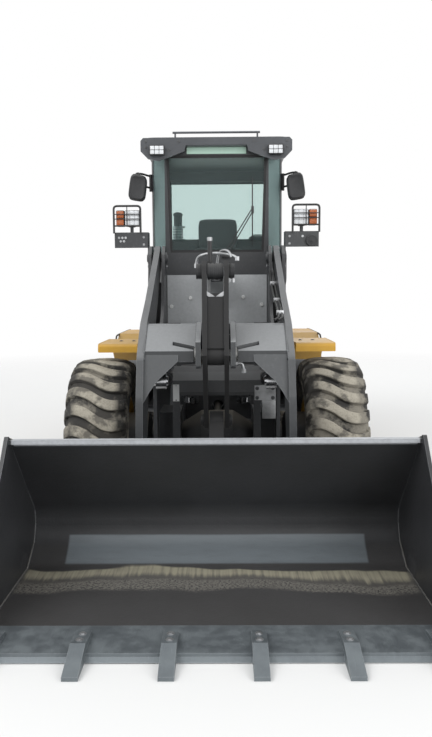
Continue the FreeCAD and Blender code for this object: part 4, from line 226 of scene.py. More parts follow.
def grid_mesh(name, rows, closed_rows=False, closed_ring=False, caps=False):
    """A mesh through rows of points, each row as long as the next."""
    count, width = len(rows), len(rows[0])
    faces = []
    for i in range(count if closed_rows else count - 1):
        j = (i + 1) % count
        for k in range(width if closed_ring else width - 1):
            n = (k + 1) % width
            faces.append((i * width + k, j * width + k, j * width + n, i * width + n))
    if caps:
        faces.append(tuple(range(width - 1, -1, -1)))
        faces.append(tuple((count - 1) * width + k for k in range(width)))
    mesh = bpy.data.meshes.new(name)
    mesh.from_pydata([tuple(p) for row in rows for p in row], [], faces)
    tidy = bmesh.new()
    tidy.from_mesh(mesh)
    bmesh.ops.remove_doubles(tidy, verts=tidy.verts, dist=1e-6)
    bmesh.ops.recalc_face_normals(tidy, faces=tidy.faces)
    tidy.to_mesh(mesh)
    tidy.free()
    return mesh


def new_tree(name, *sizes, whole=()):
    """A geometry tree with its own input node: Geometry, then sizes, some of them whole numbers."""
    tree = bpy.data.node_groups.new(name, "GeometryNodeTree")
    tree.interface.new_socket("Geometry", in_out="INPUT", socket_type="NodeSocketGeometry")
    for size in sizes:
        kind = "NodeSocketInt" if size in whole else "NodeSocketFloat"
        tree.interface.new_socket(size, in_out="INPUT", socket_type=kind)
    tree.interface.new_socket("Geometry", in_out="OUTPUT", socket_type="NodeSocketGeometry")
    return tree, node(tree, "NodeGroupInput").outputs


def coated(tree, copies, material):
    """Ends a tree with its copies made real and given their finish."""
    real = node(tree, "GeometryNodeRealizeInstances", _0=copies.outputs[0])
    coat = node(tree, "GeometryNodeSetMaterial", Geometry=real.outputs[0], Material=material)
    node(tree, "NodeGroupOutput", _0=coat.outputs[0])
    return tree


def ring_tree(name, material):
    """Nodes that set the mesh they get Count times round the X axis."""
    tree, given = new_tree(name, "Count", whole=("Count",))
    line = node(tree, "GeometryNodeMeshLine", Offset=(0, 0, 0), Count=given["Count"])
    share = node(tree, "ShaderNodeMath", {"operation": "DIVIDE"},
                 _0=node(tree, "GeometryNodeInputIndex").outputs[0], _1=given["Count"])
    angle = node(tree, "ShaderNodeMath", {"operation": "MULTIPLY"}, _0=share.outputs[0], _1=math.tau)
    turn = node(tree, "ShaderNodeCombineXYZ", X=angle.outputs[0])
    return coated(tree, node(
        tree, "GeometryNodeInstanceOnPoints", Points=line.outputs[0], Instance=given["Geometry"],
        Rotation=turn.outputs[0],
    ), material)


def grown(mesh, tree, **inputs):
    """The plain mesh that a node tree makes of a mesh, with its named inputs set."""
    holder = bpy.data.objects.new("holder", mesh)
    bpy.context.scene.collection.objects.link(holder)
    modifier = holder.modifiers.new("grow", "NODES")
    modifier.node_group = tree
    for item in tree.interface.items_tree:
        if item.in_out == "INPUT" and item.name in inputs:
            modifier[item.identifier] = inputs[item.name]
    result = bpy.data.meshes.new_from_object(
        holder.evaluated_get(bpy.context.evaluated_depsgraph_get())
    )
    holder.modifiers.clear()
    bpy.data.objects.remove(holder)
    return result


def joined(name, *meshes):
    """One mesh of several, left where they are."""
    whole = bmesh.new()
    for mesh in meshes:
        whole.from_mesh(mesh)
    made = bpy.data.meshes.new(name)
    whole.to_mesh(made)
    whole.free()
    return made


def fitted(name, material, body, slot, *meshes, smooth=40):
    """Several meshes as one piece."""
    return put(name, joined(name, *meshes), material, body, smooth)


sides = (("left", 1), ("right", -1))
axle_z, front_axle_y, rear_axle_y, track_half = 0.54, -0.575, 1.675, 0.79
wheel_corners = (
    ("front_left", 1, front_axle_y), ("front_right", -1, front_axle_y),
    ("rear_left", 1, rear_axle_y), ("rear_right", -1, rear_axle_y),
)
tyre_radius, lug_height, bead_radius = 0.539, 0.034, 0.262
lug_count, turn_steps = 24, 96


def rubber(name, axle_y):
    """Black rubber with mud dried on the bars and dust in the grooves, about one axle."""
    made = Finish(name)
    reach = made.reach_from(axle_y, axle_z)
    patches = made.noise(7.0, 8.0, 0.62)
    crumbs = made.noise(90.0, 5.0, 0.7)
    on_bars = made.most(made.ramp(reach, tyre_radius - lug_height * 0.55, tyre_radius - 0.006),
                         made.ramp(patches, 0.46, 0.6, 0.0, 0.55))
    kept = made.ramp(patches, 0.33, 0.5)
    mud = made.times(on_bars, made.most(kept, 0.3), made.ramp(crumbs, 0.25, 0.55, 0.65, 1.0))
    side_dust = made.ramp(made.noise(3.2, 7.0, 0.6), 0.42, 0.75, 0.05, 0.42)
    black = made.blend(side_dust, (0.017, 0.0165, 0.016), (0.12, 0.108, 0.088))
    earth = made.blend(made.noise(16.0, 6.0), (0.3, 0.275, 0.225), (0.52, 0.48, 0.395))
    height = made.plus(crumbs, made.times(mud, 0.6))
    return made.finish(made.blend(mud, black, earth), made.ramp(mud, 0, 1, 0.72, 0.95), height, 0.004)


tread_line = [
    (-0.205, 0.405), (-0.207, 0.445), (-0.203, 0.478), (-0.188, 0.505), (-0.15, 0.525), (-0.1, 0.534),
    (-0.045, 0.539), (0.0, 0.539), (0.045, 0.539), (0.1, 0.534), (0.15, 0.525), (0.188, 0.505),
    (0.203, 0.478), (0.207, 0.445), (0.205, 0.405),
]
carcass_line = [
    (-0.13, bead_radius - 0.006), (-0.152, bead_radius + 0.004), (-0.16, bead_radius + 0.022),
    (-0.172, bead_radius + 0.03), (-0.192, 0.33), (-0.2, 0.362), (-0.2035, 0.366), (-0.2045, 0.372),
    (-0.2015, 0.377), (-0.2, 0.4), (-0.199, 0.44), (-0.19, 0.47), (-0.165, 0.493), (-0.11, 0.503),
    (0.0, 0.506),
]
carcass_line += [(-x, r) for x, r in reversed(carcass_line[:-1])]


def wavy(share):
    """How far round the tyre a bar's middle lies, across the tread from -1 to 1."""
    bends = ((-1.15, 0.0), (-0.46, 0.056), (0.36, -0.056), (1.15, 0.0))
    for (a, low), (b, high) in zip(bends, bends[1:]):
        if share <= b:
            t = max(0.0, (share - a) / (b - a))
            t = t * t * (3 - 2 * t)
            return low + (high - low) * t
    return bends[-1][1]


rows = []
for step in range(57):
    place = step / 56 * (len(tread_line) - 1)
    k = min(int(place), len(tread_line) - 2)
    t = place - k
    x = tread_line[k][0] * (1 - t) + tread_line[k + 1][0] * t
    top = tread_line[k][1] * (1 - t) + tread_line[k + 1][1] * t
    share = place / (len(tread_line) - 1) * 2 - 1
    middle = wavy(share * 1.12) / tyre_radius
    half = (0.036 if abs(share) < 0.62 else 0.036 + 0.01 * (abs(share) - 0.62) / 0.38) / tyre_radius
    low = max(top - lug_height, 0.37) if abs(x) < 0.19 else top - 0.012
    inward = 0.0 if abs(x) < 0.19 else -math.copysign(0.016, x)
    rows.append([
        (x + shift * inward, r * math.sin(middle + side * half), r * math.cos(middle + side * half))
        for side, r, shift in (
            (-1.22, low, 1.0), (-1.06, top - 0.007, 0.25), (-0.98, top - 0.002, 0.0), (-0.86, top, 0.0),
            (0.0, top + 0.001, 0.0),
            (0.86, top, 0.0), (0.98, top - 0.002, 0.0), (1.06, top - 0.007, 0.25), (1.22, low, 1.0),
        )
    ])
bar_mesh = grid_mesh("tread_bar", rows, closed_ring=True, caps=True)
carcass_mesh = grid_mesh("carcass", [
    [
        (x, r * math.sin(math.tau * i / turn_steps), r * math.cos(math.tau * i / turn_steps)) for x,
        r in carcass_line
    ]
    for i in range(turn_steps)
], closed_rows=True, closed_ring=True)
front_rubber = rubber("front_tyre_rubber", front_axle_y)
rear_rubber = rubber("rear_tyre_rubber", rear_axle_y)
bar_ring = grown(bar_mesh, ring_tree("tread_bars", front_rubber), Count=lug_count)
for (corner, side, y), lead in zip(wheel_corners, (0.05, 0.13, 0.02, 0.09)):
    material = front_rubber if y == front_axle_y else rear_rubber
    tyre_mesh = joined("tyre_" + corner, bar_ring, carcass_mesh)
    tyre_mesh.transform(Matrix.Translation((side * track_half, y, axle_z)) @ Matrix.Rotation(lead, 4, "X"))
    tyre = put("tyre_dressed_" + corner, tyre_mesh, material, "wheel_" + corner, smooth=38)
    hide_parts("tyre_" + corner)

# The axles and wheels: cast axle cases with hub drums, and pressed rims in the yellow of the
# fenders, held by a ring of wheel nuts with a dusty disc behind.
def painted(
    name, colour, dust=(0.3, 0.27, 0.22), dusty=0.3, gloss=0.42, edge_wear_and_highlight=0.35,
    worn_and_lit_edge_colour=(0.3, 0.31, 0.32), edge=0.004, zone=None,
):
    """Sprayed paint with a fine skin, dust where it faces the sky, and edges painted paler, partly as rubbed
    paint and partly as a painted highlight along them.
    """
    made = Finish(name)
    cloud = made.noise(2.3, 9.0, 0.65)
    grain = made.noise(46.0, 6.0, 0.7)
    skin = made.noise(380.0, 2.0, 0.5)
    lying = made.times(made.facing_up(), made.ramp(cloud, 0.25, 0.7, 0.45, 1.0))
    spots = made.times(made.ramp(grain, 0.5, 0.78), made.ramp(cloud, 0.35, 0.75))
    cover = made.times(made.most(lying, made.times(spots, 0.55)), dusty)
    # Paler edges: rubbed paint and a painted edge highlight.
    worn_and_lit_edges = made.times(made.edges(edge), made.ramp(grain, 0.3, 0.62, 0.35, 1.0), edge_wear_and_highlight)
    deep = tuple(c * 0.82 for c in colour)
    coat = made.blend(made.ramp(cloud, 0.3, 0.7), deep, colour)
    # Where a zone is given, a paler tone is painted over it: a painted highlight where the sky lights the
    # plate.
    if zone:
        share, other = zone(made)
        coat = made.blend(
            share, coat, made.blend(made.ramp(grain, 0.25, 0.75), tuple(c * 0.86 for c in other), other),
        )
    coat = made.blend(worn_and_lit_edges, coat, worn_and_lit_edge_colour)
    coat = made.blend(cover, coat, dust)
    return made.finish(
        coat, made.ramp(cover, 0, 0.6, gloss, 0.85), made.plus(skin, made.times(grain, 2.0)), 0.0006,
    )


def coat(material, *names):
    """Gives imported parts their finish."""
    for name in names:
        nodes[name].data.materials.clear()
        nodes[name].data.materials.append(material)


dark_casting = painted("dark_casting", (0.03, 0.031, 0.033), dusty=0.55, gloss=0.6, edge_wear_and_highlight=0.25)
wheel_yellow = painted(
    "wheel_yellow", (0.52, 0.3, 0.035), dust=(0.33, 0.29, 0.22), dusty=0.7, gloss=0.4, edge_wear_and_highlight=0.15,
)
coat(dark_casting, "front_axle", "rear_axle", "engine", "counterweight")
coat(wheel_yellow, "rim_front_left", "rim_front_right", "rim_rear_left", "rim_rear_right")

# The frames: welded thick plate, sprayed satin dark grey, with dust on every ledge. The deck
# between the towers is painted lighter, a painted highlight where the sky lights it.
frame_grey = painted("frame_grey", (0.055, 0.058, 0.062), dust=(0.34, 0.34, 0.34), dusty=0.45, gloss=0.38)
coat(frame_grey, "rear_frame", "side_tanks")


def deck_sky_highlight(made):
    """The steep deck between the towers and the cross plate below it, painted pale grey: a painted highlight
    where the sky lights them.
    """
    across, along, up = made.split()
    side = made.maths("ABSOLUTE", across)
    deck = made.band(up, 1.286, 1.292, 1.678, 1.672)
    deck = made.times(deck, made.ramp(side, 0.393, 0.389), made.ramp(along, 0.125, 0.115))
    cross = made.times(made.band(up, 0.88, 0.885, 1.01, 1.005), made.ramp(side, 0.386, 0.38), 0.1)
    return made.most(deck, cross), (0.42, 0.435, 0.445)


front_grey = painted(
    "front_grey", (0.04, 0.042, 0.045), dust=(0.34, 0.34, 0.34), dusty=0.35, gloss=0.38, zone=deck_sky_highlight,
)
coat(front_grey, "front_frame")

# The arm, the rocker and their links: thick charcoal plate whose cut edges are painted paler, as rubbed paint
# and a painted highlight.
arm_charcoal = painted(
    "arm_charcoal",
    (0.042, 0.045, 0.048),
    dust=(0.28, 0.28, 0.28),
    dusty=0.5,
    gloss=0.36,
    edge_wear_and_highlight=0.6,
    worn_and_lit_edge_colour=(0.34, 0.36, 0.37),
)
coat(arm_charcoal, "lift_barrels", "tilt_barrel", "steer_barrel_left", "steer_barrel_right")


def boom_sky_highlight(made):
    """Plate that leans back to the sky, painted pale as a highlight where the sky lights it, most of all on
    the crossbeam between the arms.
    """
    side = made.maths("ABSOLUTE", made.split()["X"])
    return made.times(
        made.facing_up(0.22, 0.55), made.ramp(side, 0.43, 0.436, 1.0, 0.36),
    ), (0.235, 0.245, 0.252)


def roof_sky_highlight(made):
    """The roof's top, painted pale: a painted highlight where the sky lights it."""
    return made.facing_up(0.22, 0.55), (0.235, 0.25, 0.275)


boom_charcoal = painted(
    "boom_charcoal", (0.044, 0.047, 0.05), dust=(0.3, 0.3, 0.3), dusty=0.4, gloss=0.36,
    edge_wear_and_highlight=0.6, worn_and_lit_edge_colour=(0.36, 0.38, 0.39), zone=boom_sky_highlight,
)
# The rocker and the tilt link are painted near black, far darker than the arm's charcoal: painted shade.
rocker_shaded_dark = painted(
    "rocker_shaded_dark",
    (0.0125, 0.0125, 0.013),
    dust=(0.2, 0.2, 0.2),
    dusty=0.06,
    gloss=0.68,
    edge_wear_and_highlight=0.3,
    worn_and_lit_edge_colour=(0.14, 0.15, 0.155),
)
coat(boom_charcoal, "boom")
coat(rocker_shaded_dark, "rocker", "tilt_link")


def bright(name, colour, roughness):
    """Turned or plated steel with fine turning marks and a film of oil."""
    made = Finish(name)
    marks = made.noise(240.0, 4.0, 0.6)
    smear = made.noise(9.0, 5.0, 0.6)
    shade = made.blend(made.ramp(smear, 0.35, 0.7), colour, tuple(c * 0.6 for c in colour))
    return made.finish(
        shade, made.ramp(smear, 0.3, 0.7, roughness, roughness + 0.18), marks, 0.0002, metallic=1.0,
    )


pin_steel = bright("pin_steel", (0.36, 0.36, 0.35), 0.38)
rod_chrome = bright("rod_chrome", (0.72, 0.73, 0.75), 0.12)
coat(pin_steel, "bucket_pins", "rocker_pin", "link_pin")


def rod_with_eye():
    """A chromed rod whose forged eye at the rocker is dull dark steel."""
    made = Finish("rod_with_eye")
    forged = made.ramp(made.reach_from(-1.255, 1.665), 0.062, 0.056)
    smear = made.noise(9.0, 5.0, 0.6)
    plated = made.blend(made.ramp(smear, 0.35, 0.7), (0.72, 0.73, 0.75), (0.45, 0.46, 0.47))
    shade = made.blend(forged, plated, (0.05, 0.051, 0.053))
    return made.finish(shade, made.ramp(forged, 0, 1, 0.16, 0.55), smear, 0.0003, metallic=0.85)


tilt_chrome = rod_with_eye()
coat(rod_chrome, "lift_rods", "steer_rod_left", "steer_rod_right")
coat(tilt_chrome, "tilt_rod")

# The bucket: a rolled steel shell, charcoal outside. Inside it is scuffed to a dusty band where
# loads slide, with a painted reflection as a pale band above it and a line of grit left below.
def bucket_paint():
    """Charcoal paint, with what loads have done to the inside of the bucket, and a painted reflection high on
    its back.
    """
    made = Finish("bucket_paint")
    across, ahead, up = made.split()
    side = made.maths("ABSOLUTE", across)
    wave = made.noise(2.1, 6.0, 0.6)
    shifted = made.plus(up, made.swing(wave, 0.01))
    streak = made.noise(1.0, 7.0, 0.65, at=made.scaled((5.0, 30.0, 30.0)))
    speck = made.noise(75.0, 5.0, 0.75)
    within = made.ramp(side, 1.06, 1.03)
    inner = made.split(made.add("TexCoord").outputs["Normal"])
    looks_in = made.times(
        made.most(made.ramp(inner["Y"], -0.05, -0.45), made.ramp(inner["Z"], 0.3, 0.75)), within,
    )
    along = made.plus(ahead, made.swing(made.noise(1.3, 3.0, 0.5), 0.34))
    combs = made.noise(1.0, 5.0, 0.6, at=made.scaled((42.0, 1.6, 1.6)))
    combed = made.plus(along, made.swing(combs, 0.14))
    bottom = made.ramp(up, 0.14, 0.11)
    # A pale band high on the inside of the back: a painted reflection.
    reflection_band = made.times(
        made.ramp(shifted, 0.148, 0.138), made.times(
            made.ramp(ahead, -1.722, -1.706), made.ramp(side, 0.862, 0.846),
        ),
    )
    scuff = made.times(made.ramp(along, -1.775, -1.8), made.ramp(combed, -1.925, -1.85), bottom)
    trail = made.times(made.ramp(along, -1.8, -1.86), made.ramp(combed, -2.06, -1.93), bottom)
    crumbled = made.plus(along, made.swing(speck, 0.1))
    grit = made.times(made.band(crumbled, -1.93, -1.96, -2.09, -2.04), bottom)
    base = made.blend(made.ramp(wave, 0.3, 0.7), (0.026, 0.027, 0.029), (0.036, 0.037, 0.04))
    base = made.blend(made.times(made.facing_up(0.5, 1.0), 0.22), base, (0.16, 0.15, 0.14))
    for zone, value, spread, colour in (
        (reflection_band, streak, (0.25, 0.6, 0.74, 0.88), (0.165, 0.19, 0.207)),
        (trail, streak, (0.3, 0.65, 0.35, 0.6), (0.175, 0.165, 0.145)),
        (scuff, combs, (0.3, 0.6, 0.45, 0.95), (0.39, 0.365, 0.27)),
        (grit, speck, (0.44, 0.54), (0.215, 0.205, 0.18)),
        (grit, speck, (0.44, 0.38), (0.012, 0.012, 0.012)),
    ):
        base = made.blend(made.times(zone, looks_in, made.ramp(value, *spread)), base, colour)
    brim = made.times(
        made.ramp(up, 0.752, 0.76), made.ramp(side, 1.046, 1.04), made.ramp(
            made.noise(40.0, 6.0), 0.2, 0.8, 0.75, 1.0,
        ),
    )
    base = made.blend(brim, base, (0.4, 0.415, 0.435))
    # Paler edges: rubbed paint and a painted edge highlight.
    worn_and_lit_edges = made.times(made.edges(0.006), made.ramp(streak, 0.2, 0.6, 0.3, 0.8))
    base = made.blend(worn_and_lit_edges, base, (0.13, 0.14, 0.15))
    return made.finish(
        base, made.ramp(scuff, 0, 1, 0.45, 0.7), made.plus(speck, made.noise(30.0, 6.0)), 0.0012,
    )


coat(bucket_paint(), "bucket")


# The cutting edge and its teeth: bare alloy steel gone blue-grey, scraped bright at the points.
def worn_steel():
    made = Finish("worn_steel")
    long_scrape = made.noise(1.0, 8.0, 0.7, at=made.scaled((160.0, 9.0, 40.0)))
    blot = made.noise(11.0, 7.0, 0.65)
    steel = made.blend(made.ramp(blot, 0.3, 0.7), (0.15, 0.17, 0.183), (0.195, 0.22, 0.232))
    steel = made.blend(made.ramp(long_scrape, 0.55, 0.75, 0.0, 0.4), steel, (0.27, 0.3, 0.32))
    place = made.split()
    painted_part = made.times(
        made.ramp(place["Y"], -2.655, -2.64), made.ramp(place["Z"], 0.03, 0.0265), made.ramp(blot, 0.25, 0.75, 1.0, 0.96),
    )
    steel = made.blend(painted_part, steel, (0.046, 0.047, 0.05))
    steel = made.blend(made.times(made.edges(0.004), 0.5), steel, (0.42, 0.44, 0.45))
    return made.finish(
        steel, made.ramp(blot, 0.3, 0.7, 0.38, 0.62), made.plus(long_scrape, blot), 0.0012, metallic=0.55,
    )


edge_steel = worn_steel()
coat(edge_steel, "cutting_edge")

# The cab: a welded frame in charcoal with green-tinted safety glass bonded on all sides.
cab_charcoal = painted(
    "cab_charcoal", (0.036, 0.038, 0.041), dust=(0.25, 0.25, 0.25), dusty=0.35, gloss=0.34, edge_wear_and_highlight=0.25,
)
moulded = painted("moulded", (0.02, 0.021, 0.023), dust=(0.22, 0.22, 0.21), dusty=0.35, gloss=0.55, edge_wear_and_highlight=0.1)
roof_charcoal = painted(
    "roof_charcoal",
    (0.072, 0.077, 0.085),
    dust=(0.27, 0.28, 0.3),
    dusty=0.45,
    gloss=0.32,
    edge_wear_and_highlight=0.3,
    worn_and_lit_edge_colour=(0.25, 0.26, 0.28),
    zone=roof_sky_highlight,
)
coat(cab_charcoal, "cab_shell", "door_left", "door_right", "hood_grille")
coat(roof_charcoal, "cab_roof")
coat(moulded, "console", "mirrors", "exhaust_stack", "head_lamps", "work_lamps")


def green_glass():
    """Safety glass: clear with a green cast, a few dried drops, and gloss."""
    made = Finish("green_glass")
    specks = made.ramp(made.noise(30.0, 7.0, 0.7), 0.58, 0.78, 0.0, 0.1)
    clear = made.add("BsdfTransparent", Color=(0.9, 0.955, 0.945, 1))
    gloss = made.add("BsdfPrincipled", Base_Color=(0.34, 0.42, 0.42, 1), Roughness=0.04)
    edge_on = made.add("Fresnel", IOR=1.45).outputs[0]
    share = made.plus(made.plus(made.times(edge_on, 0.9), 0.05), specks)
    both = made.add("MixShader", _0=share, _1=clear.outputs[0], _2=gloss.outputs[0])
    made.tree.links.new(both.outputs[0], made.end.inputs["Surface"])
    return made.material


glass = green_glass()
coat(glass, "cab_glass", "door_glass_left", "door_glass_right")

# The hood, the cowl and the fenders: pressed sheet in yellow-orange gloss paint.
body_yellow = painted(
    "body_yellow",
    (0.66, 0.36, 0.03),
    dust=(0.42, 0.36, 0.26),
    dusty=0.35,
    gloss=0.28,
    edge_wear_and_highlight=0.2,
    worn_and_lit_edge_colour=(0.45, 0.4, 0.32),
    edge=0.003,
)
coat(body_yellow, "hood", "cowl", "front_fenders", "rear_fenders")

# The seat: a moulded shell under a dark woven cover.
seat_cover = painted("seat_cover", (0.03, 0.03, 0.033), dusty=0.2, gloss=0.8, edge_wear_and_highlight=0.0)
coat(seat_cover, "seat")

# The head lamps: on each tower a folded plate carries a black housing with a white lamp of three
# rows and an amber turn signal outside it, inside a guard of bent tube. A horn hangs on one side.
def settled(made, name):
    """The plain mesh of a finished edit."""
    mesh = bpy.data.meshes.new(name)
    made.to_mesh(mesh)
    made.free()
    return mesh


def box(low, high, bevel=0.0, segments=2):
    """A block between two corners with rounded edges."""
    made = bmesh.new()
    bmesh.ops.create_cube(made, size=1.0)
    size = [b - a for a, b in zip(low, high)]
    middle = [(a + b) / 2 for a, b in zip(low, high)]
    bmesh.ops.scale(made, verts=made.verts, vec=size)
    bmesh.ops.translate(made, verts=made.verts, vec=middle)
    if bevel:
        bmesh.ops.bevel(
            made, geom=made.edges[:], offset=bevel, segments=segments, affect="EDGES", profile=0.5,
        )
    return settled(made, "box")


def block(side, x, y, z, bevel=0.004):
    """A block between two places along each axis, on one side of the machine."""
    low, high = sorted((side * x[0], side * x[1]))
    return box((low, y[0], z[0]), (high, y[1], z[1]), bevel)


def tube(points, radius, closed=False, order=3, sides=4, steps=8):
    """A round tube along one smooth line."""
    line = bpy.data.curves.new("tube", "CURVE")
    line.dimensions = "3D"
    line.bevel_depth = radius
    line.bevel_resolution = sides
    line.use_fill_caps = not closed
    spline = line.splines.new("NURBS")
    spline.points.add(len(points) - 1)
    for point, place in zip(spline.points, points):
        point.co = (*place, 1)
    spline.order_u = order
    spline.use_endpoint_u = not closed
    spline.use_cyclic_u = closed
    spline.resolution_u = steps
    holder = bpy.data.objects.new("tube", line)
    bpy.context.scene.collection.objects.link(holder)
    mesh = bpy.data.meshes.new_from_object(holder.evaluated_get(bpy.context.evaluated_depsgraph_get()))
    bpy.data.objects.remove(holder)
    return mesh


def rod(start, end, radius, sides=20, tip=None):
    """A straight round bar, or a cone where the tip has its own radius."""
    start, end = Vector(start), Vector(end)
    made = bmesh.new()
    bmesh.ops.create_cone(
        made, cap_ends=True, segments=sides, radius1=radius, radius2=radius if tip is None else tip,
        depth=(end - start).length,
    )
    turn = (end - start).to_track_quat("Z", "Y").to_matrix().to_4x4()
    made.transform(Matrix.Translation((start + end) / 2) @ turn)
    return settled(made, "rod")


def plate(outline, low, high, across="y", bevel=0.002):
    """A flat plate of a closed outline, between two places along one axis."""
    made = bmesh.new()
    order = {
        "x": lambda a, b, c: (c, a, b), "y": lambda a, b, c: (a, c, b), "z": lambda a, b, c: (a, b, c),
    }[across]
    verts = [made.verts.new(order(a, b, low)) for a, b in outline]
    face = made.faces.new(verts)
    grown_part = bmesh.ops.extrude_face_region(made, geom=[face])
    moved = [v for v in grown_part["geom"] if isinstance(v, bmesh.types.BMVert)]
    bmesh.ops.translate(made, verts=moved, vec=order(0, 0, high - low))
    bmesh.ops.recalc_face_normals(made, faces=made.faces)
    if bevel:
        sharp = [e for e in made.edges if len(e.link_faces) == 2 and e.calc_face_angle(0) > 0.6]
        bmesh.ops.bevel(made, geom=sharp, offset=bevel, segments=1, affect="EDGES")
    return settled(made, "plate")


def bolt_tree(name, material):
    """Nodes that set a hexagon head on a washer at each point, turned to its facing."""
    tree, given = new_tree(name, "Head Radius", "Head Height", "Washer Radius")
    head = node(
        tree,
        "GeometryNodeMeshCylinder",
        Vertices=6,
        Radius=given["Head Radius"],
        Depth=given["Head Height"],
    )
    washer = node(tree, "GeometryNodeMeshCylinder", Vertices=16, Radius=given["Washer Radius"], Depth=0.004)
    half = node(tree, "ShaderNodeMath", {"operation": "MULTIPLY"}, _0=given["Head Height"], _1=0.5)
    raised = node(tree, "ShaderNodeCombineXYZ", Z=half.outputs[0])
    lift = node(tree, "GeometryNodeTransform", Geometry=head.outputs["Mesh"], Translation=raised.outputs[0])
    both = node(tree, "GeometryNodeJoinGeometry", _0=[lift.outputs[0], washer.outputs["Mesh"]])
    facing = node(tree, "GeometryNodeInputNamedAttribute", {"data_type": "FLOAT_VECTOR"}, Name="facing")
    aim = node(tree, "FunctionNodeAlignEulerToVector", {"axis": "Z"}, Vector=facing.outputs[0])
    return coated(tree, node(
        tree, "GeometryNodeInstanceOnPoints", Points=given["Geometry"], Instance=both.outputs[0],
        Rotation=aim.outputs[0],
    ), material)


def bolts(name, spots, body, tree, radius=0.011, height=0.009, washer=0.016):
    """Bolt heads at (place, facing) spots, as one piece."""
    mesh = bpy.data.meshes.new(name)
    mesh.from_pydata([tuple(place) for place, facing in spots], [], [])
    attribute = mesh.attributes.new("facing", "FLOAT_VECTOR", "POINT")
    attribute.data.foreach_set("vector", [c for place, facing in spots for c in facing])
    made = grown(mesh, tree, **{"Head Radius": radius, "Head Height": height, "Washer Radius": washer})
    return put(name, made, None, body)


def shiny_plastic(name, colour, roughness=0.18, ribs=0.0):
    """A moulded lens or lamp shell, with fine ribs across a lens."""
    made = Finish(name)
    dusty = made.ramp(made.noise(14.0, 6.0), 0.5, 0.8, 0.0, 0.35)
    lines = made.add(
        "TexWave", {"bands_direction": "X"}, Vector=made.where, Scale=70.0, Distortion=0.0,
    ).outputs[0]
    shade = made.blend(dusty, colour, (0.3, 0.28, 0.24))
    return made.finish(shade, made.ramp(dusty, 0, 0.35, roughness, 0.6), lines, ribs)


galvanised = bright("galvanised", (0.5, 0.51, 0.52), 0.42)
black_bolts = painted("black_bolts", (0.05, 0.052, 0.055), dusty=0.4, gloss=0.4, edge_wear_and_highlight=0.5)
grey_bolt_tree = bolt_tree("grey_bolts", galvanised)
dark_bolt_tree = bolt_tree("dark_bolts", black_bolts)
white_lens = shiny_plastic("white_lens", (0.72, 0.74, 0.76), 0.12, 0.0008)
amber_lens = shiny_plastic("amber_lens", (0.42, 0.105, 0.022), 0.15, 0.001)
lamp_black = painted(
    "lamp_black", (0.016, 0.016, 0.017), dust=(0.2, 0.2, 0.19), dusty=0.3, gloss=0.4, edge_wear_and_highlight=0.1,
)
lamp_y, lamp_low, lamp_high = -0.015, 2.046, 2.166
for title, side in sides:
    stand = joined(
        "lamp_stand_" + title,
        block(side, (0.523, 0.785), (lamp_y, lamp_y + 0.008), (1.88, 1.998), 0.002),
        block(side, (0.523, 0.785), (lamp_y, lamp_y + 0.09), (1.99, 1.998), 0.002),
        block(side, (0.523, 0.531), (lamp_y, lamp_y + 0.09), (1.552, 1.998), 0.002),
        rod((side * 0.655, lamp_y + 0.045, 1.995), (side * 0.655, lamp_y + 0.045, 2.06), 0.013),
        block(side, (0.63, 0.68), (lamp_y + 0.02, lamp_y + 0.07), (2.04, 2.06), 0.004),
    )
    stand_piece = put("lamp_stand_" + title, stand, arm_charcoal, "front_chassis")
    if side == 1:
        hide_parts("head_lamps")
    case = joined(
        "lamp_case_" + title,
        block(side, (0.59, 0.706), (lamp_y + 0.004, lamp_y + 0.09), (lamp_low, lamp_high), 0.008),
        block(side, (0.709, 0.772), (lamp_y + 0.004, lamp_y + 0.088), (lamp_low, lamp_high), 0.008),
    )
    put("lamp_case_" + title, case, lamp_black, "front_chassis", smooth=40)
    rows_of_light = [
        block(
            side,
            (0.5945 + 0.036 * col, 0.6295 + 0.036 * col),
            (lamp_y - 0.003, lamp_y + 0.008),
            (2.0505 + 0.0375 * row, 2.087 + 0.0375 * row),
            0.003,
        )
        for row in range(3) for col in range(3)
    ]
    fitted("lamp_lens_" + title, white_lens, "front_chassis", "lamp",
        *rows_of_light,
    )
    fitted("signal_lens_" + title, amber_lens, "front_chassis", "lamp",
        block(side, (0.712, 0.769), (lamp_y - 0.006, lamp_y + 0.008), (2.051, 2.104), 0.006),
        block(side, (0.712, 0.769), (lamp_y - 0.006, lamp_y + 0.008), (2.107, 2.161), 0.006),
    )
    inner, outer, low, high, face = side * 0.582, side * 0.786, 1.99, 2.196, lamp_y - 0.014
    bend = side * 0.03
    hoop = [
        (inner, face, low), (inner, face, low + 0.08), (inner, face, high - 0.05), (inner, face, high - 0.012),
        (inner + bend * 0.5, face, high), (inner + bend * 1.6, face, high), (outer - bend * 1.6, face, high),
        (outer - bend * 0.5, face, high), (outer, face, high - 0.012), (outer, face, high - 0.05),
        (outer, face, low + 0.08), (outer, face, low),
    ]
    fitted("lamp_guard_" + title, lamp_black, "front_chassis", "charcoal",
        tube(hoop, 0.008),
        rod((inner, face, 2.046), (outer, face, 2.046), 0.006),
        rod((inner, face, 2.098), (outer, face, 2.098), 0.0035),
        rod((inner, face, 2.134), (outer, face, 2.134), 0.0035),
        rod((side * 0.685, face, 2.046), (side * 0.685, face, 2.196), 0.0035),
    )
horn_ring = [
    (0.728 + r * math.cos(a), lamp_y - depth, 1.925 + r * math.sin(a))
    for depth, r in ((0.0, 0.04), (0.018, 0.044), (0.022, 0.04), (0.02, 0.03), (0.026, 0.012), (0.027, 0.001))
    for a in [math.tau * k / 32 for k in range(32)]
]
horn_mesh = grid_mesh("horn", [horn_ring[i * 32:(i + 1) * 32] for i in range(6)], closed_ring=True)
put("horn", horn_mesh, moulded, "front_chassis", smooth=50)
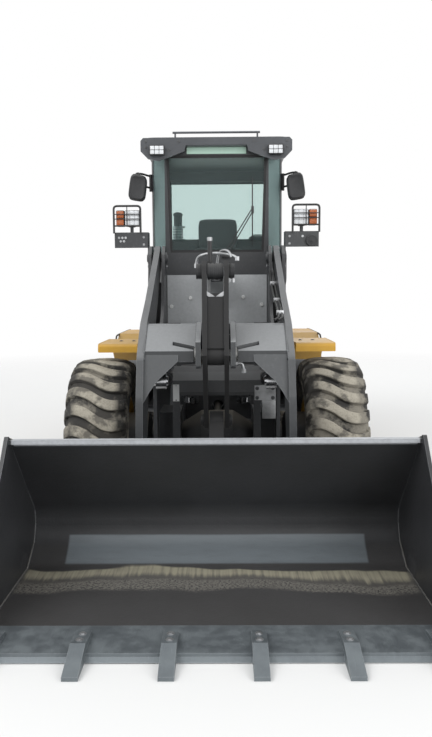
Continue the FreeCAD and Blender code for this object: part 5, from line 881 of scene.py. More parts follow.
bolts("lamp_plate_bolts", [
    ((-x, lamp_y - 0.001, z), (0, -1, 0))
    for x, z in (
        (0.7, 1.957),
        (0.725, 1.957),
        (0.75, 1.957),
        (0.713, 1.93),
        (0.738, 1.93),
        (0.56, 1.96),
        (0.56, 1.905),
    )
] + [((x, lamp_y - 0.001, z), (0, -1, 0)) for x, z in ((0.56, 1.96), (0.56, 1.905), (0.66, 1.96))],
    "front_chassis", grey_bolt_tree, 0.006, 0.005, 0.009)

# The mirrors: deep moulded heads on tubes looped out from the front pillars, the glass to the rear.
mirror_glass = bright("mirror_glass", (0.8, 0.82, 0.84), 0.03)
for title, side in sides:
    corners = [(0.592, 2.276), (0.735, 2.3), (0.703, 2.515), (0.566, 2.482)]
    rings = []
    for depth, grow in (
        (0.0, 0.62), (-0.01, 0.82), (-0.004, 0.93), (0.01, 1.0), (0.03, 1.0), (0.036, 0.985), (0.036, 0.93),
    ):
        ring = []
        for k in range(40):
            t = k / 40 * 4
            a, b = corners[int(t) % 4], corners[(int(t) + 1) % 4]
            share = t - int(t)
            x, z = a[0] + (b[0] - a[0]) * share, a[1] + (b[1] - a[1]) * share
            cx, cz = 0.649, 2.394
            away = 1 - 0.16 * (abs(share - 0.5) * 2) ** 4
            ring.append((side * (cx + (x - cx) * grow * away), 0.405 + depth, cz + (z - cz) * grow * away))
        rings.append(ring)
    head = put(
        "mirror_head_" + title,
        grid_mesh("mirror_head", rings, closed_ring=True, caps=True),
        moulded,
        "rear_chassis",
        smooth=45,
    )
    if side == 1:
        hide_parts("mirrors")
    put("mirror_glass_" + title, grid_mesh("mirror_glass", [
        [
            (side * (0.649 + (abs(x) - 0.649) * 0.9), y + 0.001, 2.394 + (z - 2.394) * 0.9) for x,
            y,
            z in rings[4]
        ],
        [
            (side * (0.649 + (abs(x) - 0.649) * 0.9), y + 0.007, 2.394 + (z - 2.394) * 0.9) for x,
            y,
            z in rings[4]
        ],
    ], closed_ring=True, caps=True), mirror_glass, "rear_chassis")
    loops = []
    for z in (2.508, 2.412):
        loops.append(tube([
            (side * 0.556, 0.56, z), (side * 0.575, 0.545, z),
            (side * 0.6, 0.5, z + 0.004), (side * 0.625, 0.46, z + 0.004),
            (side * 0.64, 0.435, z + 0.002), (side * 0.64, 0.43, z - 0.01),
        ], 0.0085))
    loops.append(
        tube(
            [
                (side * 0.64, 0.436, 2.512),
                (side * 0.66, 0.436, 2.512),
                (side * 0.664, 0.436, 2.5),
                (side * 0.664, 0.436, 2.4),
                (side * 0.66, 0.436, 2.35),
            ],
            0.0085,
        )
    )
    loops.append(rod((side * 0.556, 0.558, 2.38), (side * 0.556, 0.558, 2.52), 0.012))
    fitted("mirror_arm_" + title, lamp_black, "rear_chassis", "plastic",
        *loops,
    )

# The bucket's wear parts: each cast tooth is held to the cutting edge by two countersunk bolts with
# square necks, and weld beads run where the side plates meet the shell.
tooth_pitch, tooth_top_heel, tooth_slope = 0.386, 0.0545, 0.113
bolts("tooth_bolts", [
    ((n * tooth_pitch / 2, y, tooth_top_heel + (-2.585 - y) * tooth_slope), (0, tooth_slope, 1))
    for n in (-5, -3, -1, 1, 3, 5) for y in (-2.618, -2.688)
], "loader_bucket", grey_bolt_tree, 0.0125, 0.007, 0.018)


def bead_mesh(points, radius, sides=6, step=0.006, seed=4):
    """A weld bead: a small rippled round seam along straight runs."""
    chance = random.Random(seed)
    rings = []
    for a, b in zip(points, points[1:]):
        a, b = Vector(a), Vector(b)
        run = b - a
        turn = run.to_track_quat("Z", "Y").to_matrix()
        count = max(2, int(run.length / step))
        for i in range(count + (b == Vector(points[-1]))):
            swell = radius * (1.0 + 0.16 * (-1) ** i + chance.uniform(-0.08, 0.08))
            rings.append([
                a + run * i / count + turn @ Vector((
                    swell * math.cos(math.tau * k / sides), swell * math.sin(math.tau * k / sides), 0,
                )) for k in range(sides)
            ])
    return grid_mesh("bead", rings, closed_ring=True, caps=True)


weld_steel = painted("weld_steel", (0.06, 0.063, 0.067), dusty=0.4, gloss=0.5, edge_wear_and_highlight=0.5)
inner_side = 1.055
side_seam = [(-1.975, 0.795), (-1.562, 0.3), (-1.555, 0.205), (-1.6, 0.11), (-1.76, 0.016), (-2.715, 0.016)]
fitted("bucket_welds", weld_steel, "loader_bucket", "bucket_steel",
    *[
        bead_mesh(
            [(s * (inner_side - 0.001), y - 0.009, z + 0.002) for y, z in side_seam], 0.005, step=0.012,
        )
        for s in (1, -1)
    ], smooth=60
)

# The boom's joints: turned pin heads with a locking plate and one bolt each, grease nipples beside
# them, weld beads where the crossbeam meets the arms, and clamps that hold a pair of steel oil pipes.
def pin_head(x, y, z, side, radius=0.046, thick=0.012):
    return joined(
        "pin_head",
        rod((x, y, z), (x + side * thick, y, z), radius, 32),
        rod((x + side * thick, y, z), (x + side * (thick + 0.006), y, z), radius * 0.62, 32),
        box(
            (min(x, x + side * thick * 0.6), y - 0.014, z - radius - 0.03),
            (max(x, x + side * thick * 0.6), y + 0.014, z - radius * 0.4), 0.002,
        ),
    )


pin_y, pin_z, toe_y, toe_z = 0.015, 1.8, -1.425, 0.285
fitted("boom_pin_heads", frame_grey, "front_chassis", "frame_paint",
    *[pin_head(s * x, pin_y, pin_z, s * out) for s in (1, -1) for x, out in ((0.521, 1), (0.397, -1))],
)
fitted("bucket_pin_heads", pin_steel, "bucket_hinge_pins", "pin_steel",
    *[
    rod((s * x, toe_y, toe_z), (s * (x + out * 0.006), toe_y, toe_z), 0.036, 32)
    for s in (1, -1) for x, out in ((0.531, 1), (0.381, -1))
],
)
bolts("bucket_head_bolts", [
    ((s * x, toe_y + 0.052 * math.cos(turn), toe_z + 0.052 * math.sin(turn)), (s * out, 0, 0))
    for s in (1, -1) for x, out in ((0.5315, 1), (0.3805, -1)) for turn in (0.8, 2.4, 3.9, 5.5)
], "bucket_hinge_pins", grey_bolt_tree, 0.007, 0.005, 0.009)
bolts("boom_lock_bolts", [
    (
        (s * x, pin_y, pin_z - 0.062), (s * out, 0, 0),
    ) for s in (1, -1) for x, out in ((0.5285, 1), (0.3895, -1))
], "front_chassis", grey_bolt_tree, 0.009, 0.007, 0.013)
bolts("grease_nipples", [
    ((s * 0.4775, y, z), (s, 0, 0)) for s in (1, -1) for y, z in ((0.015, 1.872), (-1.125, 1.04))
], "boom_arm", grey_bolt_tree, 0.005, 0.012, 0.007)
arm_in = 0.434
fitted("boom_welds", arm_charcoal, "boom_arm", "charcoal",
    *[bead_mesh([(s * arm_in, y, z) for y, z in (
        (-1.032, 1.352), (-1.095, 1.331), (-1.29, 1.187), (-1.3, 1.13), (-1.076, 1.16),
    )], 0.006, step=0.01) for s in (1, -1)],
    *[
        bead_mesh(
            [(s * 0.121, y, z) for y, z in ((-1.032, 1.353), (-1.093, 1.332), (-1.286, 1.192))],
            0.005,
            step=0.01,
        )
        for s in (1, -1)
    ], smooth=60
)
pipe_runs = []
for low_side in (0, 1):
    x = 0.424 - 0.024 * low_side
    pipe_runs.append(tube([
        (x, -0.14, 1.69), (x, -0.3, 1.612), (x, -0.52, 1.52), (x, -0.76, 1.468),
        (x, -0.98, 1.398), (x, -1.04, 1.374),
        (x - 0.03, -1.062, 1.362),
    ], 0.0085, steps=6))
fitted("boom_oil_pipes", lamp_black, "boom_arm", "charcoal",
    *pipe_runs, smooth=60
)
fitted("boom_pipe_clamps", galvanised, "boom_arm", "charcoal",
    *[
    box((0.389, y - 0.014, z - 0.016), (0.437, y + 0.014, z + 0.016), 0.004)
    for y, z in ((-0.34, 1.597), (-0.7, 1.482), (-0.96, 1.405))
],
)

# The rocker's head: a ribbed pin through the fork, a pale worn recess below it, and the tilt
# cylinder's oil fittings of plated steel beside it, with a capped riser on top.
fork_y, fork_z = -1.255, 1.665
fitted("rocker_pin_ribs", moulded, "rocker_lever", "plastic",
    *[
        rod((s * x, fork_y, fork_z), (s * (x + 0.0045), fork_y, fork_z), radius, 36)
        for s in (1, -1) for x, radius in (
            (0.09, 0.043), (0.0935, 0.047), (0.0985, 0.043), (0.1025, 0.047), (0.107, 0.043), (0.1105, 0.046),
        )
    ],
    *[rod((s * 0.09, -1.049, 0.719), (s * 0.101, -1.049, 0.719), 0.034, 32) for s in (1, -1)],
)
fitted("rod_eye_ribs", moulded, "tilt_cylinder_rod", "plastic",
    *[
    rod((x - half, fork_y, fork_z), (x + half, fork_y, fork_z), radius, 40)
    for x, half, radius in [
        (-0.04 + 0.012 * k, 0.006, 0.046 + 0.004 * ((k + 1) % 2)) for k in range(7)
    ] + [(0.0425, 0.0045, 0.046)]
],
)
put("rocker_recess", plate(
    [(-0.0515, 1.548), (-0.0515, 1.52), (0.0, 1.488), (0.0515, 1.52), (0.0515, 1.548), (0.0, 1.514)],
    -1.3185, -1.3125, bevel=0.001,
), galvanised, "rocker_lever")
fitted("tilt_fittings", lamp_black, "tilt_cylinder_rod", "charcoal",
    rod((-0.033, -1.19, 1.712), (-0.033, -1.19, 1.85), 0.0135, 24),
    rod((-0.033, -1.19, 1.7), (-0.033, -1.19, 1.728), 0.019, 6),
)
fitted("tilt_pipes", galvanised, "tilt_cylinder_rod", "pin_steel",
    tube([
        (-0.118, -1.13, 1.7), (-0.118, -1.14, 1.742), (-0.09, -1.165, 1.768), (0.0, -1.185, 1.78),
        (0.08, -1.2, 1.768), (0.122, -1.225, 1.756), (0.132, -1.235, 1.74),
    ], 0.0085),
    tube([
        (0.01, -1.12, 1.7), (0.012, -1.14, 1.748), (0.03, -1.175, 1.79), (0.06, -1.2, 1.796),
        (0.09, -1.212, 1.78), (0.096, -1.22, 1.75),
    ], 0.0075),
    rod((-0.118, -1.13, 1.69), (-0.118, -1.13, 1.716), 0.015, 6),
    rod((0.01, -1.12, 1.69), (0.01, -1.12, 1.716), 0.014, 6),
    rod((0.132, -1.237, 1.728), (0.132, -1.235, 1.752), 0.014, 6), smooth=50
)
fitted("tilt_riser_cap", galvanised, "tilt_cylinder_rod", "pin_steel",
    rod((-0.033, -1.19, 1.85), (-0.033, -1.19, 1.872), 0.0165, 24),
)
fitted("rocker_side_fittings", galvanised, "rocker_lever", "pin_steel",
    rod((0.08, -1.268, 1.61), (0.08, -1.318, 1.61), 0.016, 6),
    rod((0.104, -1.262, 1.598), (0.104, -1.262, 1.632), 0.015, 6),
    rod((0.104, -1.262, 1.632), (0.104, -1.262, 1.652), 0.011, 20),
    rod((0.08, -1.262, 1.615), (0.11, -1.262, 1.615), 0.011, 20),
)
fitted("bracket_elbow", galvanised, "boom_arm", "pin_steel",
    tube([(0.128, -1.262, 1.11), (0.15, -1.262, 1.112), (0.166, -1.262, 1.1), (0.17, -1.262, 1.07)], 0.01),
    rod((0.121, -1.262, 1.11), (0.136, -1.262, 1.11), 0.017, 6),
    rod((0.17, -1.262, 1.074), (0.17, -1.262, 1.05), 0.016, 6),
)

# The front frame's small parts: four white-capped bolts on the sloping deck, a blank white plate on
# the chin, a pale bracket plate, and the gland rings and wipers on the cylinders.
white_cap = shiny_plastic("white_cap", (0.7, 0.71, 0.7), 0.4)
deck_caps = []
for x, z in ((-0.211, 1.491), (-0.361, 1.426), (0.206, 1.497), (0.352, 1.437)):
    y = 0.08 + (z - 1.3) / 0.372 * 0.012
    deck_caps.append(rod((x, y + 0.002, z), (x, y - 0.012, z), 0.016, 24, tip=0.012))
fitted("deck_caps", white_cap, "front_chassis", "lamp",
    *deck_caps,
)
put("chin_plate", plate(
    [(-0.289, 0.822), (-0.247, 0.822), (-0.247, 0.934), (-0.289, 0.934)], -0.909, -0.9045, bevel=0.001,
), white_cap, "front_chassis")
bolts("chin_plate_screws", [
    ((-0.268, -0.909, z), (0, -1, 0)) for z in (0.829, 0.927)
], "front_chassis", grey_bolt_tree, 0.004, 0.003, 0.0055)
fitted("valve_bracket", galvanised, "front_chassis", "frame_paint",
    plate([(0.25, 0.825), (0.392, 0.825), (0.392, 0.905), (0.378, 0.925), (0.25, 0.925)], -0.906, -0.898),
    box((0.3, -0.9, 0.7), (0.392, -0.87, 0.905), 0.004),
)
bolts("valve_bracket_bolts", [
    ((x, -0.906, z), (0, -1, 0)) for x in (0.268, 0.372) for z in (0.842, 0.905)
] + [((s * 0.375, -0.905, z), (0, -1, 0)) for s in (1, -1) for z in (0.47, 0.53)],
    "front_chassis", dark_bolt_tree, 0.009, 0.007, 0.013)


def collar(start, end, reach, radius, long=0.012):
    """A ring round the line from start to end, at a distance from start."""
    start, end = Vector(start), Vector(end)
    way = (end - start).normalized()
    return rod(start + way * reach, start + way * (reach + long), radius, 32)


lift_foot, lift_eye = (0.325, 0.85), (-1.125, 0.985)
tilt_foot_at, tilt_eye_at = (-0.066, 1.672), (-1.255, 1.665)
fitted("lift_glands", black_bolts, "lift_cylinder_barrels", "charcoal",
    *[
    collar((s * 0.345, *lift_foot), (s * 0.345, *lift_eye), reach, radius)
    for s in (1, -1) for reach, radius in ((0.935, 0.05), (0.985, 0.0505), (1.006, 0.036))
],
)
fitted("tilt_glands", black_bolts, "tilt_cylinder_barrel", "charcoal",
    *[
        collar((0, *tilt_foot_at), (0, *tilt_eye_at), reach, radius)
        for reach, radius in ((0.69, 0.056), (0.738, 0.0565), (0.756, 0.04))
    ],
    box((-0.016, -0.18, 1.718), (0.016, -0.12, 1.748), 0.004),
    rod((0, -0.15, 1.745), (0, -0.15, 1.765), 0.014, 6),
)

# The wheels' fastenings: each rim is held by a ring of ten nuts round a turned hub, with a valve
# stem through the dish.
wheel_nuts = ring_tree("wheel_nuts", galvanised)
hub_face, nut_circle = 0.0765, 0.14
nut_mesh = joined(
    "nut",
    rod((hub_face, 0, nut_circle), (hub_face + 0.016, 0, nut_circle), 0.017, 6),
    rod((hub_face + 0.016, 0, nut_circle), (hub_face + 0.026, 0, nut_circle), 0.009, 12),
)
hub_mesh = joined(
    "hub",
    rod((0.106, 0, 0), (0.118, 0, 0), 0.06, 36, tip=0.05),
    rod((0.06, 0, 0.205), (0.105, 0, 0.198), 0.006, 10),
    rod((-0.148, 0, 0), (-0.15, 0, 0), 0.01, 8),
)
for corner, side, y in wheel_corners:
    for name, mesh, finish, slot, smooth in (
        ("wheel_nuts_", grown(nut_mesh, wheel_nuts, Count=10), galvanised, "pin_steel", None),
        ("hub_cap_", hub_mesh, dark_casting, "rim", 40),
    ):
        set_out = joined(name + corner, mesh)
        if side < 0:
            set_out.transform(Matrix.Rotation(math.pi, 4, "Z"))
        set_out.transform(Matrix.Translation((side * track_half, y, axle_z)))
        put(name + corner, set_out, finish, "wheel_" + corner, smooth)

# The cab's outside: a black rubber seal round every pane, a pale green sun strip above the screen,
# and a wiper with two parallel arms that swings from the sill.
rubber_seal = painted("rubber_seal", (0.012, 0.012, 0.013), dusty=0.25, gloss=0.65, edge_wear_and_highlight=0.0)


def frame_mesh(corners, wide, low, high, across="y"):
    """A flat frame that follows a closed outline inwards by a width."""
    centre = (sum(a for a, b in corners) / len(corners), sum(b for a, b in corners) / len(corners))
    inner = []
    for k, (a, b) in enumerate(corners):
        before, after = Vector(corners[k - 1]), Vector(corners[(k + 1) % len(corners)])
        here = Vector((a, b))
        one, two = (here - before).normalized(), (after - here).normalized()
        n1, n2 = Vector((-one.y, one.x)), Vector((-two.y, two.x))
        if n1.dot(Vector(centre) - here) < 0:
            n1, n2 = -n1, -n2
        way = (n1 + n2).normalized()
        inner.append(here + way * (wide / max(0.3, way.dot(n1))))
    order = {"x": lambda a, b, c: (c, a, b), "y": lambda a, b, c: (a, c, b)}[across]
    rows = []
    for (a, b), (c, e) in zip(corners, inner):
        rows.append([order(a, b, low), order(a, b, high), order(c, e, high), order(c, e, low)])
    return grid_mesh("frame", rows, closed_rows=True, closed_ring=True)


screen_outline = [(-0.386, 1.859), (0.386, 1.859), (0.411, 2.641), (-0.411, 2.641)]
door_window = [(0.666, 1.4365), (1.24, 1.4365), (1.24, 2.5735), (0.666, 2.5735)]
quarter_window = [(1.3755, 1.8605), (1.5345, 1.8605), (1.5345, 2.5995), (1.3755, 2.5995)]
rear_window = [(-0.4695, 2.0305), (0.4695, 2.0305), (0.4695, 2.5995), (-0.4695, 2.5995)]
put("screen_seal", frame_mesh(screen_outline, 0.022, 0.36, 0.369), rubber_seal, "rear_chassis")
put("rear_pane_seal", frame_mesh(rear_window, 0.02, 1.572, 1.58), rubber_seal, "rear_chassis")
for title, side in sides:
    span = sorted((side * 0.532, side * 0.539))
    put(
        "door_pane_seal_" + title,
        frame_mesh(door_window, 0.018, *span, across="x"),
        rubber_seal,
        title + "_door",
    )
    put(
        "quarter_pane_seal_" + title,
        frame_mesh(quarter_window, 0.016, *span, across="x"),
        rubber_seal,
        "rear_chassis",
    )
sun_strip = shiny_plastic("sun_strip", (0.42, 0.6, 0.5), 0.25)
put("sun_strip", box((-0.24, 0.349, 2.648), (0.24, 0.3545, 2.7), 0.001), sun_strip, "rear_chassis")
wiper_root, wiper_tip, wiper_y = (0.068, 1.838), (0.29, 2.2), 0.338
fitted("wiper", lamp_black, "rear_chassis", "plastic",
    *[rod(
        (wiper_root[0] + shift, wiper_y, wiper_root[1]), (
            wiper_tip[0] + shift * 0.6, wiper_y, wiper_tip[1],
        ), 0.0045, 10,
    ) for shift in (-0.016, 0.016)],
    box((0.04, 0.33, 1.812), (0.1, 0.3555, 1.85), 0.006),
    box((0.28, 0.334, 2.17), (0.302, 0.35, 2.23), 0.003),
    box((0.285, 0.344, 1.912), (0.295, 0.352, 2.458), 0.002),
    box((0.2885, 0.352, 1.905), (0.2915, 0.3665, 2.465), 0.001),
)

# The work lamps: two shallow die-cast housings with a grid of reflectors behind clear lenses,
# bolted to the visor plate. The roof has a gutter strip.
lamp_face = 0.2277
for title, side in sides:
    low, high = sorted((side * 0.411, side * 0.533))
    housing = joined(
        "work_lamp",
        box((low, lamp_face + 0.002, 2.621), (high, lamp_face + 0.034, 2.699), 0.006),
        *[
            box(
                (low + 0.008 + 0.013 * k, lamp_face + 0.034, 2.628),
                (low + 0.012 + 0.013 * k, lamp_face + 0.05, 2.692),
                0.0,
            )
            for k in range(9)
        ],
        box((low + 0.045, lamp_face + 0.036, 2.64), (high - 0.045, lamp_face + 0.052, 2.68), 0.0),
    )
    piece = put("work_lamp_" + title, housing, lamp_black, "rear_chassis", smooth=40)
    if side == 1:
        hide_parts("work_lamps")
    fitted("work_lens_" + title, white_lens, "rear_chassis", "lamp",
        *[
        box(
            (low + 0.0075 + 0.0365 * col, lamp_face - 0.001, 2.628 + 0.0335 * row),
            (low + 0.0415 + 0.0365 * col, lamp_face + 0.006, 2.6585 + 0.0335 * row), 0.004,
        ) for col in range(3) for row in range(2)
    ],
    )
bolts("visor_bolts", [
    ((s * x, 0.2795, z), (0, -1, 0)) for s in (1, -1) for x, z in (
        (0.565, 2.69), (0.38, 2.67), (0.3, 2.735), (0.565, 2.735),
    )
], "rear_chassis", dark_bolt_tree, 0.008, 0.006, 0.012)
gutter = []
for s in (1, -1):
    gutter.append(
        tube(
            [
                (s * 0.593, 0.42, 2.736),
                (s * 0.593, 0.8, 2.736),
                (s * 0.593, 1.2, 2.736),
                (s * 0.593, 1.56, 2.736),
            ],
            0.006,
            steps=4,
        )
    )
fitted("roof_gutters", rubber_seal, "rear_chassis", "plastic",
    *gutter, smooth=60
)

# Inside the cab: a suspended seat with foam cushions under woven cloth, a grab wheel on a tilted
# column, a console with levers at the driver's right, and pedals on a rubber mat.
seat_cloth = Finish("seat_cloth")
weave = seat_cloth.add(
    "TexWave", {"bands_direction": "Z"}, Vector=seat_cloth.where, Scale=260.0, Distortion=2.0,
).outputs[0]
thread = seat_cloth.add(
    "TexWave", {"bands_direction": "X"}, Vector=seat_cloth.where, Scale=260.0, Distortion=2.0,
).outputs[0]
fluff = seat_cloth.noise(70.0, 5.0)
seat_shade = seat_cloth.blend(seat_cloth.ramp(fluff, 0.3, 0.7), (0.03, 0.031, 0.034), (0.058, 0.06, 0.064))
cloth = seat_cloth.finish(seat_shade, 0.92, seat_cloth.plus(weave, thread), 0.0008, Sheen_Weight=0.35)


def cushion_mesh(low, high, crown, corner=0.05, seam=0.006, welt=True):
    """A stuffed pad: rounded block, fuller in the middle of its faces, drawn in at a seam."""
    steps = 18
    size = [b - a for a, b in zip(low, high)]
    centre = [(a + b) / 2 for a, b in zip(low, high)]
    made = bmesh.new()
    bmesh.ops.create_cube(made, size=2.0)
    bmesh.ops.subdivide_edges(made, edges=made.edges[:], cuts=steps, use_grid_fill=True)
    thin = min(range(3), key=lambda k: size[k])
    wide = [k for k in range(3) if k != thin]
    for v in made.verts:
        c = [v.co[k] for k in range(3)]
        full = (1 - c[wide[0]] ** 4) * (1 - c[wide[1]] ** 4)
        spot = [c[k] * (size[k] / 2 - corner) for k in range(3)]
        n = Vector([c[k] if abs(c[k]) > 0.999 else c[k] ** 5 for k in range(3)])
        if n.length:
            n.normalize()
        near_seam = math.exp(-(c[thin] / 0.1) ** 2) if welt else 0.0
        v.co = Vector(spot) + n * (corner - seam * near_seam)
        v.co[thin] += c[thin] * crown * full
        v.co += Vector(centre)
    return settled(made, "cushion")


seat_base = put(
    "seat_cushion",
    cushion_mesh((-0.24, 0.99, 1.5), (0.24, 1.4, 1.612), 0.006),
    cloth,
    "rear_chassis",
    smooth=80,
)
seat_rest = put(
    "seat_backrest",
    cushion_mesh((-0.23, 1.352, 1.6), (0.23, 1.45, 1.96), 0.006, 0.045),
    cloth,
    "rear_chassis",
    smooth=80,
)
seat_head = put(
    "seat_headrest",
    cushion_mesh((-0.185, 1.356, 1.95), (0.185, 1.448, 2.228), 0.006, 0.045),
    cloth,
    "rear_chassis",
    smooth=80,
)
floor_top = 1.18
bellows = []
for k in range(7):
    z = floor_top + 0.03 + 0.034 * k
    half = 0.145 - 0.012 * (k % 2)
    bellows.append(box((-half, 1.105, z), (half, 1.345, z + 0.03), 0.01))
seat_stand = fitted("seat_stand", moulded, "rear_chassis", "plastic",
    box((-0.15, 1.095, floor_top + 0.001), (0.15, 1.345, floor_top + 0.03), 0.004),
    *bellows,
    box((-0.215, 1.02, 1.452), (0.215, 1.4, 1.498), 0.012),
    box((-0.2, 1.4435, 1.56), (0.2, 1.4545, 2.04), 0.004),
    *[rod((s * 0.06, 1.408, 2.04), (s * 0.06, 1.408, 2.13), 0.007, 12) for s in (1, -1)],
)
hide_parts("seat")
wheel_at, tilt = Vector((0, 0.755, 1.845)), Matrix.Rotation(math.radians(-14), 4, "X")


def on_wheel(reach, angle, rise=0.0):
    """A place on the steering wheel, turned round its own tilted axis."""
    return wheel_at + tilt @ Vector((reach * math.cos(angle), reach * math.sin(angle), rise))


ring_points = [on_wheel(0.185, math.tau * k / 24) for k in range(24)]
steering = fitted("steering_wheel", moulded, "rear_chassis", "plastic",
    tube(ring_points, 0.0135, closed=True, order=4, steps=4),
    *[rod(on_wheel(0, 0, -0.012), on_wheel(0.18, math.radians(a)), 0.01, 12) for a in (90, 210, 330)],
    rod(on_wheel(0, 0, -0.03), on_wheel(0, 0, 0.008), 0.038, 24),
    rod(on_wheel(0, 0, -0.02), (0, 0.64, 1.7), 0.034, 24),
    rod(
        on_wheel(0.184, math.radians(135), 0.008), on_wheel(0.184, math.radians(135), 0.05), 0.017, 16,
    ), smooth=45
)
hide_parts("console")
fitted("dashboard", moulded, "rear_chassis", "plastic",
    plate(
        [
            (0.425, 1.182),
            (0.545, 1.182),
            (0.545, 1.64),
            (0.69, 1.7),
            (0.675, 1.778),
            (0.56, 1.8),
            (0.43, 1.78),
        ],
        -0.168,
        0.168,
        "x",
        0.01,
    ),
    box((-0.49, 1.02, 1.52), (-0.3, 1.42, 1.6), 0.02),
    box((-0.47, 1.08, 1.182), (-0.32, 1.38, 1.53), 0.015),
    *[rod((-0.395 + dx, 1.06, 1.595), (-0.395 + dx, 1.04, 1.7), 0.006, 12) for dx in (-0.035, 0.035)],
    *[
        rod((-0.395 + dx, 1.041, 1.695), (-0.395 + dx, 1.036, 1.735), 0.016, 20, tip=0.012)
        for dx in (-0.035, 0.035)
    ],
    *[box((x, 0.56, 1.23), (x + 0.08, 0.62, 1.25), 0.005) for x in (-0.26, 0.19)],
    box((-0.48, 0.43, 1.1802), (0.48, 1.5, 1.188), 0.002),
)

# The cab's doors and steps: a bent pull handle over a latch, a grab rail on the post ahead of each
# door, and raised anti-slip strips on the steps of the side tanks, whose fillers have screw caps.
door_face = 0.545
for title, side in sides:
    out = side * door_face
    fitted("door_handle_" + title, lamp_black, title + "_door", "plastic",
        tube([
            (out, 0.625, 1.5), (out + side * 0.032, 0.625, 1.508), (out + side * 0.032, 0.625, 1.58),
            (out + side * 0.032, 0.625, 1.652), (out, 0.625, 1.66),
        ], 0.008),
        rod((out - side * 0.004, 0.625, 1.45), (out + side * 0.014, 0.625, 1.45), 0.014, 24),
        block(side, (door_face - 0.003, door_face + 0.004), (0.603, 0.648), (1.425, 1.68), 0.005),
    )
    put("grab_rail_" + title, tube([
        (out, 0.571, 1.56), (out + side * 0.036, 0.571, 1.572), (out + side * 0.036, 0.571, 1.74),
        (out + side * 0.036, 0.571, 1.908), (out, 0.571, 1.92),
    ], 0.009), lamp_black, "rear_chassis", smooth=60)
    strips = []
    for z in (0.49, 0.74):
        for k in range(11):
            y = 0.735 + 0.0305 * k
            strips.append(block(side, (0.812, 0.893), (y, y + 0.01), (z - 0.001, z + 0.005), 0.0015))
    fitted("step_tread_" + title, galvanised, "rear_chassis", "frame_paint",
        *strips, smooth=None
    )
    fitted("filler_cap_" + title, lamp_black, "rear_chassis", "plastic",
        rod((side * 0.6, 0.83, 0.948), (side * 0.6, 0.83, 0.968), 0.05, 32),
        rod((side * 0.6, 0.83, 0.968), (side * 0.6, 0.83, 0.992), 0.043, 14, tip=0.039),
        block(side, (0.56, 0.64), (0.823, 0.837), (0.99, 1.004), 0.003), smooth=35
    )
bolts("step_bolts", [
    ((s * 0.8005, y, z), (s, 0, 0))
    for s in (1, -1) for y in (0.765, 1.015) for z in (0.56, 0.64, 0.8, 0.88)
], "rear_chassis", dark_bolt_tree, 0.009, 0.007, 0.014)

# The hood's outside: pressed louvres let air out on both sides, two rubber latches hold the tail
# down, the lamps are set in its rear face, and a core of thin fins stands behind the grille.
hood_side, hood_tail = 0.48, 2.805
red_lens = shiny_plastic("red_lens", (0.5, 0.012, 0.01), 0.15, 0.001)
for title, side in sides:
    vents = []
    for k in range(9):
        y = 2.12 + 0.052 * k
        vents.append(plate(
            [(y, 1.42), (y + 0.034, 1.42), (y + 0.034, 1.64), (y, 1.64)],
            *sorted((side * (hood_side - 0.001), side * (hood_side + 0.007))), across="x", bevel=0.006,
        ))
    fitted("hood_louvres_" + title, body_yellow, "hood_lid", "yellow",
        *vents, smooth=None
    )
    # A black strip in each gap beside a louvre: painted shade in the vent opening.
    vent_gap_shade = [plate(
        [
            (2.12 + 0.052 * k + 0.034, 1.428),
            (2.12 + 0.052 * k + 0.04, 1.428),
            (2.12 + 0.052 * k + 0.04, 1.632),
            (2.12 + 0.052 * k + 0.034, 1.632),
        ],
        *sorted((side * (hood_side - 0.001), side * (hood_side + 0.0012))), across="x", bevel=0.0,
    ) for k in range(9)]
    fitted("hood_vent_shade_" + title, lamp_black, "hood_lid", "plastic",
        *vent_gap_shade, smooth=None
    )
    low, high = sorted((side * 0.325, side * 0.425))
    fitted("rear_lamp_" + title, lamp_black, "hood_lid", "plastic",
        box((low, hood_tail - 0.002, 1.33), (high, hood_tail + 0.026, 1.56), 0.01),
    )
    for lens, z, glow in (("rear_lens_", 1.338, red_lens), ("rear_turn_lens_", 1.448, amber_lens)):
        put(lens + title, box(
            (low + 0.008, hood_tail + 0.018, z), (high - 0.008, hood_tail + 0.032, z + 0.103), 0.008,
        ), glow, "hood_lid", smooth=40)
    fitted("hood_latch_" + title, lamp_black, "hood_lid", "plastic",
        block(side, (0.479, 0.5), (2.7, 2.74), (1.07, 1.15), 0.006),
        rod((side * 0.49, 2.72, 1.15), (side * 0.49, 2.72, 1.18), 0.01, 16),
    )
core_fins = [box((-0.28, 2.56, 1.16), (0.28, 2.6, 1.6), 0.0)]
for k in range(46):
    x = -0.276 + 0.012 * k
    core_fins.append(box((x, 2.6, 1.165), (x + 0.002, 2.612, 1.595), 0.0))
fitted("cooling_core", lamp_black, "rear_chassis", "charcoal",
    *core_fins,
    box((-0.3, 2.545, 1.595), (0.3, 2.615, 1.64), 0.01),
    box((-0.3, 2.545, 1.1415), (0.3, 2.615, 1.165), 0.004),
    box((-0.3, 2.545, 1.16), (-0.279, 2.615, 1.6), 0.003),
    box((0.279, 2.545, 1.16), (0.3, 2.615, 1.6), 0.003), smooth=None
)
fitted("hood_handle", lamp_black, "hood_lid", "plastic",
    tube(
        [
            (-0.09, hood_tail, 1.085),
            (-0.086, hood_tail + 0.028, 1.085),
            (0, hood_tail + 0.03, 1.085),
            (0.086, hood_tail + 0.028, 1.085),
            (0.09, hood_tail, 1.085),
        ],
        0.007,
    ), smooth=60
)

